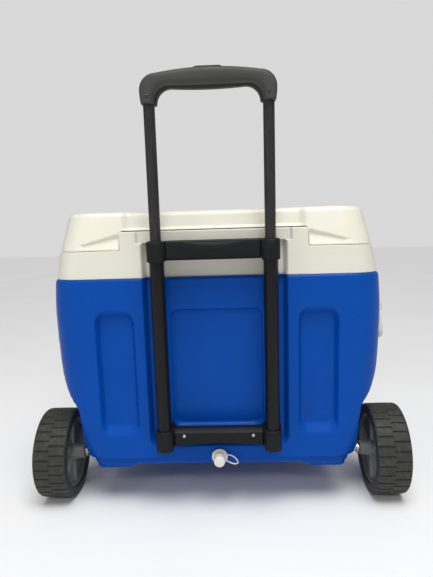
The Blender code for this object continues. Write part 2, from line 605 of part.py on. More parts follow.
def grip():
    outline = grip_outline()
    bore = [h + GAP for h in INNER_TUBE]
    cavity = cutter("grip_cavity", box((-0.0925, -0.0062, 0.6693), (0.0925, 0.0062, 0.6845)), HANDLE)
    wide, deep = BUTTON_HALF + BUTTON_SLIP, BUTTON_DEPTH + BUTTON_SLIP
    window = cutter("grip_window", box((-wide, -deep, BUTTON_LOW - BUTTON_STROKE - BUTTON_SLIP),
                                       (wide, deep, BUTTON_TOP + BUTTON_STROKE)), HANDLE)
    sockets = []
    for hand, side in SIDES:
        hole = shifted(oval(*bore), hand * TUBE_X)
        sockets.append(cutter(f"grip_socket_{side}", loft([(hole, 0.63), (hole, 0.6695)]), HANDLE))
        screw_hole = rod(0.0022, -0.03, -0.008, "Y", (hand * TUBE_X, GRIP_SCREW_Z), 12)
        sockets.append(cutter(f"grip_screw_hole_{side}", screw_hole, HANDLE))
        turned(f"grip_screw_{side}", [(0, 0.0018), (0.0022, 0.0016), (0.0034, 0.0006), (0.0034, GAP),
                                      (0.0018, GAP), (0.0018, -0.0050), (0, -0.0050)], 12, parent=HANDLE,
               at=(hand * TUBE_X, -GRIP_DEPTH, GRIP_SCREW_Z), turn=(math.pi / 2, 0, 0), colour=STEEL,
               roughness=0.35, metallic=1.0)
    halves = (("grip_rear_shell", -GAP / 2, 0.03), ("grip_front_shell", -0.03, GAP / 2))
    for name, cut_low, cut_high in halves:
        shell = add(name, loft([(outline, -GRIP_DEPTH), (outline, GRIP_DEPTH)], "Y"), HANDLE,
                    colour=DARK_GREY, roughness=0.55)
        bevel(shell, 0.0055, 3, 60)
        boolean(shell, cutter(f"{name}_half", box((-0.15, cut_low, 0.6), (0.15, cut_high, 0.75)), HANDLE))
        for hole in (cavity, window, *sockets):
            boolean(shell, hole)
    button = add("release_button", box((-BUTTON_HALF, -BUTTON_DEPTH, BUTTON_LOW),
                                       (BUTTON_HALF, BUTTON_DEPTH, BUTTON_TOP)),
                 HANDLE, colour=BLACK, roughness=0.5)
    bevel(button, 0.0025, 2)
    add("push_yoke", box((-0.0895, -0.0045, 0.6755), (0.0895, 0.0045, BUTTON_LOW - GAP)), HANDLE,
        colour=DARK_GREY, roughness=0.5)


# ---------------------------------------------------------------- lid and hinges
def lid_loft(inset, low, high):
    """The lid's hipped shape, moved in by inset; its top edge is rounded."""
    rings = []
    edge = 0.008
    spans = [(low, 0.0)] + [(high - edge * (1 - math.sin(a)), edge * (1 - math.cos(a)))
                            for a in (math.radians(d) for d in (0, 22, 45, 68, 90))]
    for z, back in spans:
        t = (min(z, TOP_Z) - LID_Z) / (TOP_Z - LID_Z)
        half = LID_HALF_LOW + (LID_HALF_HIGH - LID_HALF_LOW) * t - inset - back
        rear = LID_REAR_LOW + (LID_REAR_HIGH - LID_REAR_LOW) * t + inset + back
        front = LID_FRONT_LOW + (LID_FRONT_HIGH - LID_FRONT_LOW) * t - inset - back
        rings.append((rounded(-half, half, rear, front, LID_CORNER - inset - back), z))
    return loft(rings)


def lid_cutters(tag, grow):
    """The notch over the raised collar, and the recess in the middle of the rear wall."""
    half = RISER_HALF + NOTCH_CLEARANCE + grow
    notch = box((-half, -0.12, LID_Z - 0.03),
                (half, CAVITY_REAR_HIGH + NOTCH_CLEARANCE + grow, RISER_Z + 0.0008 + grow))
    side = LID_RECESS_HALF + grow
    floor = LID_REAR_LOW + LID_RECESS + grow
    wide = rounded(-side, side, LID_Z - 0.03, 0.6, 0.003, 2)
    narrow = rounded(-side + 0.006, side - 0.006, LID_Z - 0.03, 0.6, 0.003, 2)
    recess = loft([(wide, -0.12), (wide, LID_REAR_LOW), (narrow, floor)], "Y")
    return [cutter(f"{tag}_notch", notch, LID, LID_BACK), cutter(f"{tag}_recess", recess, LID, LID_BACK)]


def lid():
    shell = add("lid_shell", lid_loft(0, LID_Z + GAP, TOP_Z), LID, LID_BACK, colour=CREAM, roughness=0.36)
    hollow = cutter("lid_hollow", lid_loft(WALL, LID_Z - 0.02, TOP_Z - WALL), LID, LID_BACK)
    for piece in lid_cutters("lid_inner", WALL):
        boolean(hollow, piece)
    for piece in lid_cutters("lid_outer", 0):
        boolean(shell, piece)
    boolean(shell, hollow)

    inset = WALL + GAP
    skirt = 0.0030
    tongue = [rounded(-h, h, r, f, CAVITY_CORNER, 5) for h, r, f in (
        (CAVITY_HALF_HIGH - 0.0045, CAVITY_REAR_HIGH + 0.0035, CAVITY_FRONT_HIGH - 0.0035),
        (CAVITY_HALF_HIGH - 0.0030, CAVITY_REAR_HIGH + 0.0025, CAVITY_FRONT_HIGH - 0.0025))]
    plate = rounded(-LID_HALF_LOW + inset + 0.001, LID_HALF_LOW - inset - 0.001, LID_REAR_LOW + inset + 0.001,
                    LID_FRONT_LOW - inset - 0.0005, LID_CORNER - inset, 5)
    liner = add("lid_liner", loft([(tongue[0], LID_Z - 0.012), (tongue[1], LID_Z + GAP), (plate, LID_Z + GAP),
                                   (plate, LID_Z + skirt)]), LID, LID_BACK, colour=WHITE, roughness=0.4)
    pan = rounded(-CAVITY_HALF_HIGH + 0.0075, CAVITY_HALF_HIGH - 0.0075, CAVITY_REAR_HIGH + 0.0065,
                  CAVITY_FRONT_HIGH - 0.0065, CAVITY_CORNER - 0.004, 5)
    boolean(liner, cutter("lid_liner_pan", loft([(pan, LID_Z - 0.009), (pan, LID_Z + 0.05)]), LID, LID_BACK))
    boolean(liner, lid_cutters("lid_liner", inset)[0])

    foam = add("lid_foam", lid_loft(inset + 0.0040, LID_Z + skirt + GAP, TOP_Z - inset), LID, LID_BACK,
               colour=FOAM_YELLOW, roughness=0.9)
    for piece in lid_cutters("lid_foam", inset):
        boolean(foam, piece)


def knuckle(x_low, x_high):
    return rod(KNUCKLE_RADIUS, x_low, x_high, "X", (HINGE_Y, HINGE_Z), 16)


def hinges():
    plate = 0.0030
    for hand, side in SIDES:
        x = hand * HINGE_X
        bore = rod(PIN_RADIUS + GAP, x - 0.05, x + 0.05, "X", (HINGE_Y, HINGE_Z), 12)
        pin_bore = cutter(f"hinge_bore_{side}", bore, ROOT)
        base = add(f"hinge_base_{side}", box((x - 0.030, COLLAR_FRONT + GAP, LID_Z - 0.034),
                                             (x + 0.030, COLLAR_FRONT + plate, LID_Z - 0.0058)),
                   ROOT, colour=WHITE, roughness=0.4)
        leaf = add(f"hinge_leaf_{side}", box((x - 0.030, LID_FRONT_LOW + GAP, LID_Z + 0.0065),
                                             (x + 0.030, LID_FRONT_LOW + plate, LID_Z + 0.033)),
                   LID, LID_BACK, colour=WHITE, roughness=0.4)
        bevel(base, 0.0010, 1)
        bevel(leaf, 0.0010, 1)
        for i, (low, high) in enumerate(((-0.028, -0.0125), (0.0125, 0.028))):
            web = box((x + low, COLLAR_FRONT + 0.0012, LID_Z - 0.012),
                      (x + high, HINGE_Y + 0.002, HINGE_Z - 0.001))
            boolean(base, cutter(f"base_web_{side}{i}", web, ROOT), "UNION")
            boolean(base, cutter(f"base_knuckle_{side}{i}", knuckle(x + low, x + high), ROOT), "UNION")
        web = box((x - 0.012, LID_FRONT_LOW + 0.0012, HINGE_Z + 0.001),
                  (x + 0.012, HINGE_Y + 0.002, LID_Z + 0.012))
        boolean(leaf, cutter(f"leaf_web_{side}", web, ROOT), "UNION")
        boolean(leaf, cutter(f"leaf_knuckle_{side}", knuckle(x - 0.012, x + 0.012), ROOT), "UNION")
        boolean(base, pin_bore)
        boolean(leaf, pin_bore)
        add(f"hinge_pin_{side}", rod(PIN_RADIUS, x - 0.0285, x + 0.0285, "X", (HINGE_Y, HINGE_Z), 12), ROOT,
            colour=STEEL, roughness=0.3, metallic=1.0)


# ---------------------------------------------------------------- carry handles and drain
def carry_handles():
    for hand, side in SIDES:
        plate_x = 0.2670
        low, high = sorted((hand * plate_x, hand * (plate_x + 0.004)))
        plate = add(f"carry_bracket_{side}", box((low, CARRY_Y - 0.086, CARRY_Z - 0.020),
                                                 (high, CARRY_Y + 0.086, CARRY_Z + 0.022)),
                    ROOT, colour=WHITE, roughness=0.4)
        bevel(plate, 0.0015, 1)
        hub = rounded(*sorted((hand * plate_x, hand * (CARRY_X + 0.010))),
                      CARRY_Z - 0.010, CARRY_Z + 0.010, 0.008, 3)
        pivot = axes(f"carry_axes_{side}", ROOT, (hand * CARRY_X, CARRY_Y, CARRY_Z),
                     (0, -hand * CARRY_TILT, 0))
        corner, length = 0.016, CARRY_DROP
        half = CARRY_HALF
        path = [(0, -half, 0), (0, -half, -length + corner)]
        path += [(0, a, b) for a, b in arc((-half + corner, -length + corner), corner, 180, 270, 5)[1:]]
        path += [(x, -y, z) for x, y, z in reversed(path)]
        bail = add(f"carry_handle_{side}", wire_mesh(path, CARRY_RADIUS, 3), pivot, colour=WHITE, roughness=0.4)
        for end, sign in (("rear", -1), ("front", 1)):
            lug_low, lug_high = sorted((CARRY_Y + sign * (half + 0.0095), CARRY_Y + sign * (half + 0.0185)))
            lug = loft([(hub, lug_low), (hub, lug_high)], "Y")
            boolean(plate, cutter(f"carry_lug_{side}_{end}", lug, ROOT), "UNION")
            pin_low, pin_high = sorted((CARRY_Y + sign * (half - 0.003), CARRY_Y + sign * (half + 0.012)))
            pin = rod(0.0040, pin_low, pin_high, "Y", (hand * CARRY_X, CARRY_Z), 14)
            boolean(plate, cutter(f"carry_pin_{side}_{end}", pin, ROOT), "UNION")
            eye_low, eye_high = sorted((sign * (half - 0.009), sign * (half + 0.009)))
            eye = rod(0.0095, eye_low, eye_high, "Y", (0, 0), 16)
            boolean(bail, cutter(f"carry_eye_{side}_{end}", eye, pivot), "UNION")
            hole_low, hole_high = sorted((sign * (half - 0.004), sign * (half + 0.02)))
            hole = rod(0.0044, hole_low, hole_high, "Y", (0, 0), 14)
            boolean(bail, cutter(f"carry_hole_{side}_{end}", hole, pivot))


def drain():
    spot = dict(parent=DRAIN)
    inward = CAVITY_REAR_LOW - LINER_WALL - GAP - rear_wall(DRAIN_Z) - 0.0006
    bushing = [(DRAIN_TUBE, 0.0150), (DRAIN_TUBE, 0.0052), (0.0130, 0.0044), (0.0130, 0.0022),
               (DRAIN_TUBE, 0.0022), (DRAIN_TUBE, -inward), (DRAIN_BORE, -inward), (DRAIN_BORE, 0.0150)]
    turned("drain_body", bushing, 24, True, colour=WHITE, roughness=0.4, **spot)
    gasket = [(0.0120, 0.0019), (0.0120, GAP), (DRAIN_TUBE + GAP, GAP), (DRAIN_TUBE + GAP, 0.0019)]
    turned("drain_gasket", gasket, 24, True, colour=BLACK, roughness=0.7, **spot)
    cap = [(0, 0.0235), (0.0075, 0.0235), (0.0088, 0.0222), (0.0094, 0.0078), (DRAIN_TUBE + 0.0004, 0.0078),
           (DRAIN_TUBE + 0.0004, 0.0160), (0, 0.0160)]
    turned("drain_cap", cap, 24, colour=WHITE, roughness=0.4, **spot)
    ring = [(0.0104, 0.0073), (0.0104, 0.0057), (DRAIN_TUBE + 0.0004, 0.0057), (DRAIN_TUBE + 0.0004, 0.0073)]
    tether = turned("drain_tether", ring, 24, True, colour=WHITE, roughness=0.45, **spot)
    path = [(0.0090, -0.0012, 0.0065), (0.0150, -0.0020, 0.0068)]
    path += [(0.0255 + a, -0.0035 - 0.4 * abs(b), 0.0068 + b) for a, b in arc((0, 0), 0.0042, -75, 75, 8)]
    path += [(0.0180, -0.0020, 0.0118), (0.0150, -0.0012, 0.0112)]
    strap = cutter("tether_strap", wire_mesh(path, 0.0011, 1), DRAIN)
    boolean(tether, strap, "UNION")


clear_scene()
PARTS, CUTTERS = collection("wheeled_cooler"), collection("cutters")
SIDES = ((-1, "left"), (1, "right"))
ROOT = axes("cooler_axes", at=(0, AXLE_Y, 0))
REAR_PLANE = axes("rear_plane", ROOT, (0, rear_wall(0), 0), (LEAN, 0, 0))
FRONT_PLANE = axes("front_plane", ROOT, (0, front_wall(0), 0), (FRONT_DRAFT, 0, math.pi))
COLLAR_PLANE = axes("collar_plane", ROOT, (0, collar_rear(0), 0), (LEAN, 0, 0))
TUBE_Y = TUBE_Y_AT_300 + 0.3 * math.tan(LEAN)
HANDLE = axes("handle_axes", ROOT, (0, TUBE_Y, 0), (LEAN, 0, 0))
DRAIN = axes("drain_axes", ROOT, (0, rear_wall(DRAIN_Z), DRAIN_Z), (math.pi / 2 + LEAN, 0, 0))
LID = axes("lid_axes", ROOT, (0, HINGE_Y, HINGE_Z))
LID_BACK = (0, -HINGE_Y, -HINGE_Z)
bpy.context.view_layer.update()

outer_shell()
insulation_foam()
inner_liner()
for hand_sign, side_name in SIDES:
    wheel(hand_sign, side_name)
axle()
front_feet()
tubes()
brackets()
grip()
lid()
hinges()
carry_handles()
drain()
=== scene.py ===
"""The looks of a wheeled cooler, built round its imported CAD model.

Metres, +Z up. The handle side faces -Y and X runs along the axle. Pieces are made with Y measured
from the wheel axle, and place() moves them into the model's frame. Pieces of the pull handle are
made upright, as (across, depth, height) about its tubes, and place_on_handle() tilts them.
"""

import bisect
import math

import bmesh
import bpy
from mathutils import Matrix, Vector


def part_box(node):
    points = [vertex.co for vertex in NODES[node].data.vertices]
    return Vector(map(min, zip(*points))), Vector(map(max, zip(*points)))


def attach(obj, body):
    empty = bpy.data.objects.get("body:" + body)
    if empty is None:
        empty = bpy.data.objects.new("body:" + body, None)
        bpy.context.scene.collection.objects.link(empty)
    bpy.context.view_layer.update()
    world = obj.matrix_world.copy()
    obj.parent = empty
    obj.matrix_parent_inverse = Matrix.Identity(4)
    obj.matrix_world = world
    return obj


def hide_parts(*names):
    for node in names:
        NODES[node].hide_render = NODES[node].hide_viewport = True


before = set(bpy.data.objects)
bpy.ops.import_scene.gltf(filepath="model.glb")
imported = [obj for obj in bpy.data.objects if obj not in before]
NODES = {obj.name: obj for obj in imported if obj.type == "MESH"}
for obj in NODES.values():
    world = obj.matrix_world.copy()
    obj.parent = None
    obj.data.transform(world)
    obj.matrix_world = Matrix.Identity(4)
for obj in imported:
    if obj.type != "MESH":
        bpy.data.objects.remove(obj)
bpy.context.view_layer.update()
SIDES = ((-1, "left"), (1, "right"))


def middle(node):
    low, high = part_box(node)
    return (low + high) / 2


# ---------------- sizes, the CAD model's or close to them
AXLE = middle("axle")
LEAN = math.radians(2.8)
FRONT_DRAFT = math.radians(1.5)
BASE_Z, SEAM_Z, LID_Z, TOP_Z = 0.071, 0.390, 0.434, 0.4945
REAR_AT_300, FRONT_AT_SEAM, CORNER, WALL = -0.072, 0.3236, 0.046, 0.003
BELLY_HALF, BELLY_Z, BELLY_SLOPE, BELLY_FADE_Z = 0.135, 0.074, 0.012, 0.0885  # the raised lower edge
SKIRT_CORNER, SKIRT_TOP, WALL_FOOT = 0.022, 0.0880, 0.0900
# heights with the shell's half width, and with how far its rear and front walls are set back there
HALF_WIDTHS = ((BASE_Z, 0.2085), (0.0745, 0.2150), (SKIRT_TOP, 0.2185), (0.0895, 0.2305),
               (0.105, 0.239), (0.150, 0.2530), (0.210, 0.2615), (0.270, 0.2655), (0.330, 0.2667),
               (0.375, 0.2645), (0.3865, 0.2630), (SEAM_Z, 0.2605))
SET_BACK = ((BASE_Z, 0.0130), (0.0745, 0.0112), (SKIRT_TOP, 0.0095), (0.0895, 0.0), (0.375, 0.0),
            (0.3865, 0.0), (SEAM_Z, 0.0025))
# distances from the axle with how far out the side wall may stand over the wheel
ARCH = ((0.0, 0.2280), (0.088, 0.2288), (0.105, 0.2302), (0.112, 0.2312), (0.118, 0.2345),
        (0.125, 0.2420), (0.131, 0.2480), (0.148, 0.2580), (0.162, 0.2670), (0.170, 0.3000))
ARCH_NEAR, ARCH_BLEND = 0.2, 0.005
AXLE_Z = 0.076
GROOVE_HALF, GROOVE_TOP = 0.0054, 0.0814  # the groove under the box that the axle lies in

# recesses: the slopes are how wide their sides, top and bottom are
CHANNEL_HALF, CHANNEL_DEPTH = 0.1145, 0.012
CHANNEL = dict(x=0, half=CHANNEL_HALF, low=0.109, high=1.0, depth=CHANNEL_DEPTH,
               slopes=(0.0075, 0.001, 0.012), curve=0.006)
PANEL = dict(x=0, half=0.0755, low=0.139, high=0.3385, depth=0.0062,
             slopes=(0.004, 0.0035, 0.006), curve=0.011)
POCKET = dict(x=0.1615, half=0.0330, low=0.126, high=0.340, depth=0.0115,
              slopes=(0.0080, 0.016, 0.022), curve=0.010)
FAR_POCKET = dict(POCKET, x=0, half=CHANNEL_HALF - 0.004)
LEDGE_Z, LEDGE_OVERLAP = 0.4445, 0.0012  # where the channel ends under the shallower recess above it
COLLAR_CHANNEL = dict(CHANNEL, low=0.2, high=LEDGE_Z + LEDGE_OVERLAP,
                      slopes=(0.0075, 0.0015, 0.001), curve=0.002)
COLLAR_HEADER = dict(x=0, half=0.1215, low=LEDGE_Z - LEDGE_OVERLAP, high=1.0, depth=0.004,
                     slopes=(0.003, 0.001, 0.0015), curve=0.002)

COLLAR_BACK, COLLAR_FRONT, COLLAR_LOW_HALF, COLLAR_HIGH_HALF = 0.0019, 0.3215, 0.2608, 0.2525
RISER_HALF, RISER_Z = 0.1455, 0.4634
CAVITY_FLOOR_Z, CAVITY_CORNER, CAVITY_MIDDLE_Y, LINER_WALL = 0.0905, 0.034, 0.126, 0.0025
CAVITY_LOW = (0.2060, -0.0290, 0.2810)  # half width, rear and front at the floor
CAVITY_HIGH = (0.2235, -0.0395, 0.2880)  # and at the mouth

LID_LOW = (0.2520, -0.0760, 0.3208)  # half width, rear and front at the lower edge
LID_HIGH = (0.2380, -0.0660, 0.3172)  # and at the top
LID_CORNER, LID_EDGE = 0.048, 0.008
LID_RECESS_HALF, LID_RECESS_SLOPE, LID_RECESS = 0.1470, 0.0170, 0.0064
NOTCH_HALF, NOTCH_Z, NOTCH_FRONT = 0.1465, 0.4648, -0.0385
LOWER_EDGE_Z = LID_Z + 0.0009

WHEEL_RADIUS, WHEEL_HALF, WHEEL_X = 0.076, 0.0275, 0.2835
TYRE_INNER, RIM_RADIUS = 0.0600, 0.0597

TUBE_X, TUBE_Y = 0.0864, -0.088 + 0.3 * math.tan(LEAN)
OUTER_TUBE, INNER_TUBE, TUBE_WALL, TUBE_EDGE = (0.0113, 0.0135), (0.0083, 0.0102), 0.0012, 0.0003
OUTER_SPAN, INNER_SPAN = (0.1165, 0.4450), (0.3750, 0.6680)
LOCK_HEIGHTS, LOCK_RADIUS = (0.4050, 0.2150), 0.0029
GRIP_HALF, LEG_INNER, LEG_TAPER, GRIP_DEPTH = 0.0985, 0.0745, 0.0016, 0.0160
GRIP_LOW, GRIP_UNDER, GRIP_TOP = 0.6455, 0.6660, 0.6925
GRIP_SHOULDER, GRIP_FILLET, GRIP_CROWN, GRIP_BELLY = 0.0230, 0.0215, 0.0062, 0.0022
GRIP_STRAIGHT, GRIP_ROUND, GRIP_FOOT_ROUND = 0.0755, 0.62, 0.0016
SEAM_GROOVE, SEAM_GAP = 0.0007, 0.00012  # where the grip's two halves meet
GRIP_LIP = 0.0045  # how much further the front half reaches round the inside of the grip
BUTTON_HALF, BUTTON_DEPTH, BUTTON_LOW, BUTTON_HIGH = 0.0230, 0.0088, 0.6830, 0.6955
BUTTON_WELL, BUTTON_ROOM = 0.0055, 0.0004  # how far the well goes below the button, and its play


# ---------------- curves and heights
def smooth_curve(knots):
    """A curve through (place, value) knots that never overshoots them."""
    places, values = zip(*knots)
    slopes = [(b - a) / (q - p) for p, q, a, b in zip(places, places[1:], values, values[1:])]
    inner = [0 if a * b <= 0 else 2 * a * b / (a + b) for a, b in zip(slopes, slopes[1:])]
    tangents = [slopes[0]] + inner + [slopes[-1]]

    def at(place):
        place = min(max(place, places[0]), places[-1])
        i = min(bisect.bisect_right(places, place) - 1, len(places) - 2)
        span = places[i + 1] - places[i]
        t = (place - places[i]) / span
        return ((1 + 2 * t) * (1 - t) ** 2 * values[i] + t * (1 - t) ** 2 * span * tangents[i]
                + t * t * (3 - 2 * t) * values[i + 1] + t * t * (t - 1) * span * tangents[i + 1])
    return at


half_width, set_back = smooth_curve(HALF_WIDTHS), smooth_curve(SET_BACK)
arch_side = smooth_curve(ARCH)


def corner_radius(z):
    return lerp(SKIRT_CORNER, CORNER, smooth_step(z, SKIRT_TOP, WALL_FOOT))


def rear_wall(z):
    return REAR_AT_300 - (z - 0.3) * math.tan(LEAN)


def front_wall(z):
    return FRONT_AT_SEAM - (SEAM_Z - z) * math.tan(FRONT_DRAFT)


def smooth_step(value, low, high):
    t = min(max((value - low) / (high - low), 0), 1)
    return t * t * (3 - 2 * t)


def ramp(t, bend=0.25):
    """From 0 to 1 as t does, straight in the middle and rounded at both ends."""
    t = min(max(t, 0), 1)
    if t < bend:
        return t * t / (2 * bend * (1 - bend))
    if t > 1 - bend:
        return 1 - (1 - t) ** 2 / (2 * bend * (1 - bend))
    return (t - bend / 2) / (1 - bend)


def lerp(a, b, t):
    return a + (b - a) * t


def smooth_min(a, b, reach):
    """The smaller of two values, blended where they are within reach of each other."""
    h = max(reach - abs(a - b), 0) / reach
    return min(a, b) - h * h * reach / 4


def recess(across, z, x, half, low, high, depth, slopes, curve):
    """How deep a recess with sloping sides and round corners is at a point of a wall."""
    side, top, bottom = slopes
    out_x = abs(across - x) - (half - side - curve)
    floor_low, floor_high = low + bottom + curve, high - top - curve
    out_z = max(z - floor_high, floor_low - z)
    upright = max(out_z, 0) ** 2 / (max(out_x, 0) ** 2 + max(out_z, 0) ** 2 + 1e-12)
    reach = lerp(side, top if z > floor_high else bottom, upright)
    distance = math.hypot(max(out_x, 0), max(out_z, 0)) - curve
    return depth * (1 - ramp(distance / reach))


def steps(*runs):
    """Levels from (start, stop, step) runs, in order and without repeats."""
    levels = []
    for start, stop, step in runs:
        count = max(1, round(abs(stop - start) / step))
        levels += [lerp(start, stop, i / count) for i in range(count + 1)]
    kept = levels[:1]
    for level in levels[1:]:
        if abs(level - kept[-1]) > 1e-6:
            kept.append(level)
    return kept


# ---------------- meshes
def skin(rings, wrap=False):
    """A closed surface through rings of as many points each. With wrap, the last ring joins the first."""
    mesh = bmesh.new()
    loops = [[mesh.verts.new(p) for p in ring] for ring in rings]
    pairs = list(zip(loops, loops[1:])) + ([(loops[-1], loops[0])] if wrap else [])
    for lower, upper in pairs:
        for i in range(len(lower)):
            mesh.faces.new((lower[i - 1], lower[i], upper[i], upper[i - 1]))
    if not wrap:
        mesh.faces.new(loops[0])
        mesh.faces.new(loops[-1])
    bmesh.ops.recalc_face_normals(mesh, faces=mesh.faces)
    return mesh


SHARP_ANGLE = 40


def add_object(name, data, at=(0, 0, 0), along=None):
    """Puts a new object in the scene, with its -Z axis along a direction if one is given."""
    obj = bpy.data.objects.new(name, data)
    bpy.context.scene.collection.objects.link(obj)
    obj.location = at
    if along:
        obj.rotation_euler = Vector(along).to_track_quat("-Z", "Y").to_euler()
    return obj


def place(name, mesh, body, slot, material, node, matrix=None, sharp=SHARP_ANGLE):
    """Turns a bmesh into a piece that rides on a body and stands for a CAD node."""
    data = bpy.data.meshes.new(name)
    mesh.transform(matrix or Matrix.Translation((0, AXLE.y, 0)))
    mesh.to_mesh(data)
    mesh.free()
    data.materials.append(material)
    data.shade_smooth()
    data.set_sharp_from_angle(angle=math.radians(sharp))
    obj = add_object(name, data)
    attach(obj, body)
    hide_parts(node)
    return obj


HANDLE = Matrix.Translation((0, AXLE.y + TUBE_Y, 0)) @ Matrix.Rotation(LEAN, 4, "X")


def place_on_handle(name, mesh, body, slot, material, node):
    return place(name, mesh, body, slot, material, node, HANDLE)


def join(target, other):
    """Adds a bmesh to another, as a shape of the same piece."""
    data = bpy.data.meshes.new("part")
    other.to_mesh(data)
    other.free()
    target.from_mesh(data)
    bpy.data.meshes.remove(data)


def cut(obj, mesh):
    """Cuts a shape out of a piece and applies the cut."""
    data = bpy.data.meshes.new("cutter")
    mesh.to_mesh(data)
    mesh.free()
    tool = add_object("cutter", data)
    step = obj.modifiers.new("Cut", "BOOLEAN")
    step.operation, step.object, step.solver = "DIFFERENCE", tool, "EXACT"
    bpy.context.view_layer.update()
    result = bpy.data.meshes.new_from_object(obj.evaluated_get(bpy.context.evaluated_depsgraph_get()))
    obj.modifiers.clear()
    old, obj.data = obj.data, result
    bpy.data.meshes.remove(old)
    bpy.data.objects.remove(tool)
    bpy.data.meshes.remove(data)
    obj.data.shade_smooth()
    obj.data.set_sharp_from_angle(angle=math.radians(SHARP_ANGLE))


def arc(centre, radius, start, end, count):
    """Points along an arc between two angles in degrees."""
    angles = (math.radians(lerp(start, end, i / count)) for i in range(count + 1))
    return [(centre[0] + radius * math.cos(a), centre[1] + radius * math.sin(a)) for a in angles]


def block(low, high):
    """A box between two corners."""
    mesh = bmesh.new()
    bmesh.ops.create_cube(mesh, size=1)
    for vert in mesh.verts:
        vert.co = Vector((lerp(l, h, c + 0.5) for c, l, h in zip(vert.co, low, high)))
    return mesh


def cylinder_x(radius, low, high, at, count=20):
    """A round bar along X between two levels; at is its middle's (y, z)."""
    turns = [2 * math.pi * i / count for i in range(count)]
    return skin([[(level, at[0] + radius * math.cos(a), at[1] + radius * math.sin(a)) for a in turns]
                 for level in (low, high)])


def turned_y(profile, count=32):
    """A profile of (radius, level) turned about the Y axis."""
    turns = [2 * math.pi * i / count for i in range(count)]
    return skin([[(radius * math.cos(a), level, radius * math.sin(a)) for a in turns]
                 for radius, level in profile])


# ---------------- outlines of the box
DETAIL_SHARE = 0.93  # the columns at the details keep within this share of the flat wall
FIXED_COLUMNS = steps((0, 0.066, 0.011), (0.0685, 0.0785, 0.00125), (0.084, 0.100, 0.0053),
                      (0.1035, 0.1255, 0.00125), (0.127, 0.140, 0.0009))
OUTER_COLUMNS, CORNER_STEPS, SIDE_STEPS = 60, 12, 56


def corner_points(x, y, radius, start):
    """A quarter of a circle about a point, from an angle on, without its first point."""
    return [(*point, "corner") for point in arc((x, y), radius, start, start + 90, CORNER_STEPS)[1:]]


def outline(half, rear, front, radius, columns=FIXED_COLUMNS):
    """Points round a rectangle with round corners, as (x, y, wall), with closer columns at its details."""
    flat = half - radius
    reach = min(columns[-1], flat * DETAIL_SHARE)
    inner = [c * reach / columns[-1] for c in columns]
    out = [lerp(reach, flat, (i + 1) / OUTER_COLUMNS) for i in range(OUTER_COLUMNS)]
    across = [-x for x in reversed(inner[1:] + out)] + inner + out
    points = [(x, rear, "rear") for x in across]
    points += corner_points(flat, rear + radius, radius, -90)
    sides = [lerp(rear + radius, front - radius, i / SIDE_STEPS) for i in range(1, SIDE_STEPS + 1)]
    points += [(half, y, "side") for y in sides]
    points += corner_points(flat, front - radius, radius, 0)
    points += [(-x, front, "front") for x in across[1:]]
    points += corner_points(-flat, front - radius, radius, 90)
    points += [(-half, y, "side") for y in reversed([rear + radius] + sides[:-1])]
    return points + corner_points(-flat, rear + radius, radius, 180)[:-1]


# ---------------- materials
class Nodes:
    """A few short calls for building a material's node tree."""

    def __init__(self, name):
        self.material = bpy.data.materials.new(name)
        self.material.use_nodes = True
        self.tree = self.material.node_tree
        self.shader = self.tree.nodes["Principled BSDF"]
        self.place = self.add("ShaderNodeTexCoord").outputs["Object"]

    def add(self, kind):
        return self.tree.nodes.new(kind)

    def link(self, source, target):
        self.tree.links.new(source, target)

    def noise(self, scale, detail=3.0, stretch=(1, 1, 1), roughness=0.5):
        mapping = self.add("ShaderNodeMapping")
        mapping.inputs["Scale"].default_value = stretch
        self.link(self.place, mapping.inputs["Vector"])
        node = self.add("ShaderNodeTexNoise")
        node.inputs["Scale"].default_value = scale
        node.inputs["Detail"].default_value = detail
        node.inputs["Roughness"].default_value = roughness
        self.link(mapping.outputs["Vector"], node.inputs["Vector"])
        return node.outputs["Fac"]

    def cells(self, scale):
        node = self.add("ShaderNodeTexVoronoi")
        node.inputs["Scale"].default_value = scale
        self.link(self.place, node.inputs["Vector"])
        return node.outputs["Distance"]

    def spread(self, fac, low, high):
        node = self.add("ShaderNodeMapRange")
        for key, value in (("From Min", 0.3), ("From Max", 0.7), ("To Min", low), ("To Max", high)):
            node.inputs[key].default_value = value
        self.link(fac, node.inputs["Value"])
        return node.outputs["Result"]

    def colours(self, fac, *stops):
        node = self.add("ShaderNodeValToRGB")
        elements = node.color_ramp.elements
        while len(elements) < len(stops):
            elements.new(0.5)
        for element, (position, colour) in zip(elements, stops):
            element.position = position
            element.color = (*colour, 1)
        self.link(fac, node.inputs["Fac"])
        return node.outputs["Color"]

    def bump(self, height, distance, strength=1.0, after=None):
        node = self.add("ShaderNodeBump")
        node.inputs["Distance"].default_value = distance
        node.inputs["Strength"].default_value = strength
        self.link(height, node.inputs["Height"])
        if after:
            self.link(after, node.inputs["Normal"])
        return node.outputs["Normal"]

    def set(self, **values):
        for key, value in values.items():
            self.shader.inputs[key.replace("_", " ")].default_value = value

    def use(self, socket, output):
        self.link(output, self.shader.inputs[socket])


def shaded(colour, share):
    return tuple(c * share for c in colour)


def moulded_plastic(name, colour, roughness, grain, depth, mottle=0.06, specular=0.5):
    """Moulded plastic: slightly uneven colour and gloss, and a fine pebbled grain."""
    nodes = Nodes(name)
    broad, fine = nodes.noise(9, 4), nodes.noise(grain, 2)
    stops = (0.30, shaded(colour, 1 - mottle)), (0.70, shaded(colour, 1 + mottle))
    nodes.use("Base Color", nodes.colours(broad, *stops))
    nodes.use("Roughness", nodes.spread(nodes.noise(34, 5), roughness - 0.05, roughness + 0.06))
    slow = nodes.bump(nodes.noise(28, 2), 0.00035, 0.35)
    nodes.use("Normal", nodes.bump(fine, depth, 0.6, slow))
    nodes.set(Specular_IOR_Level=specular)
    return nodes.material


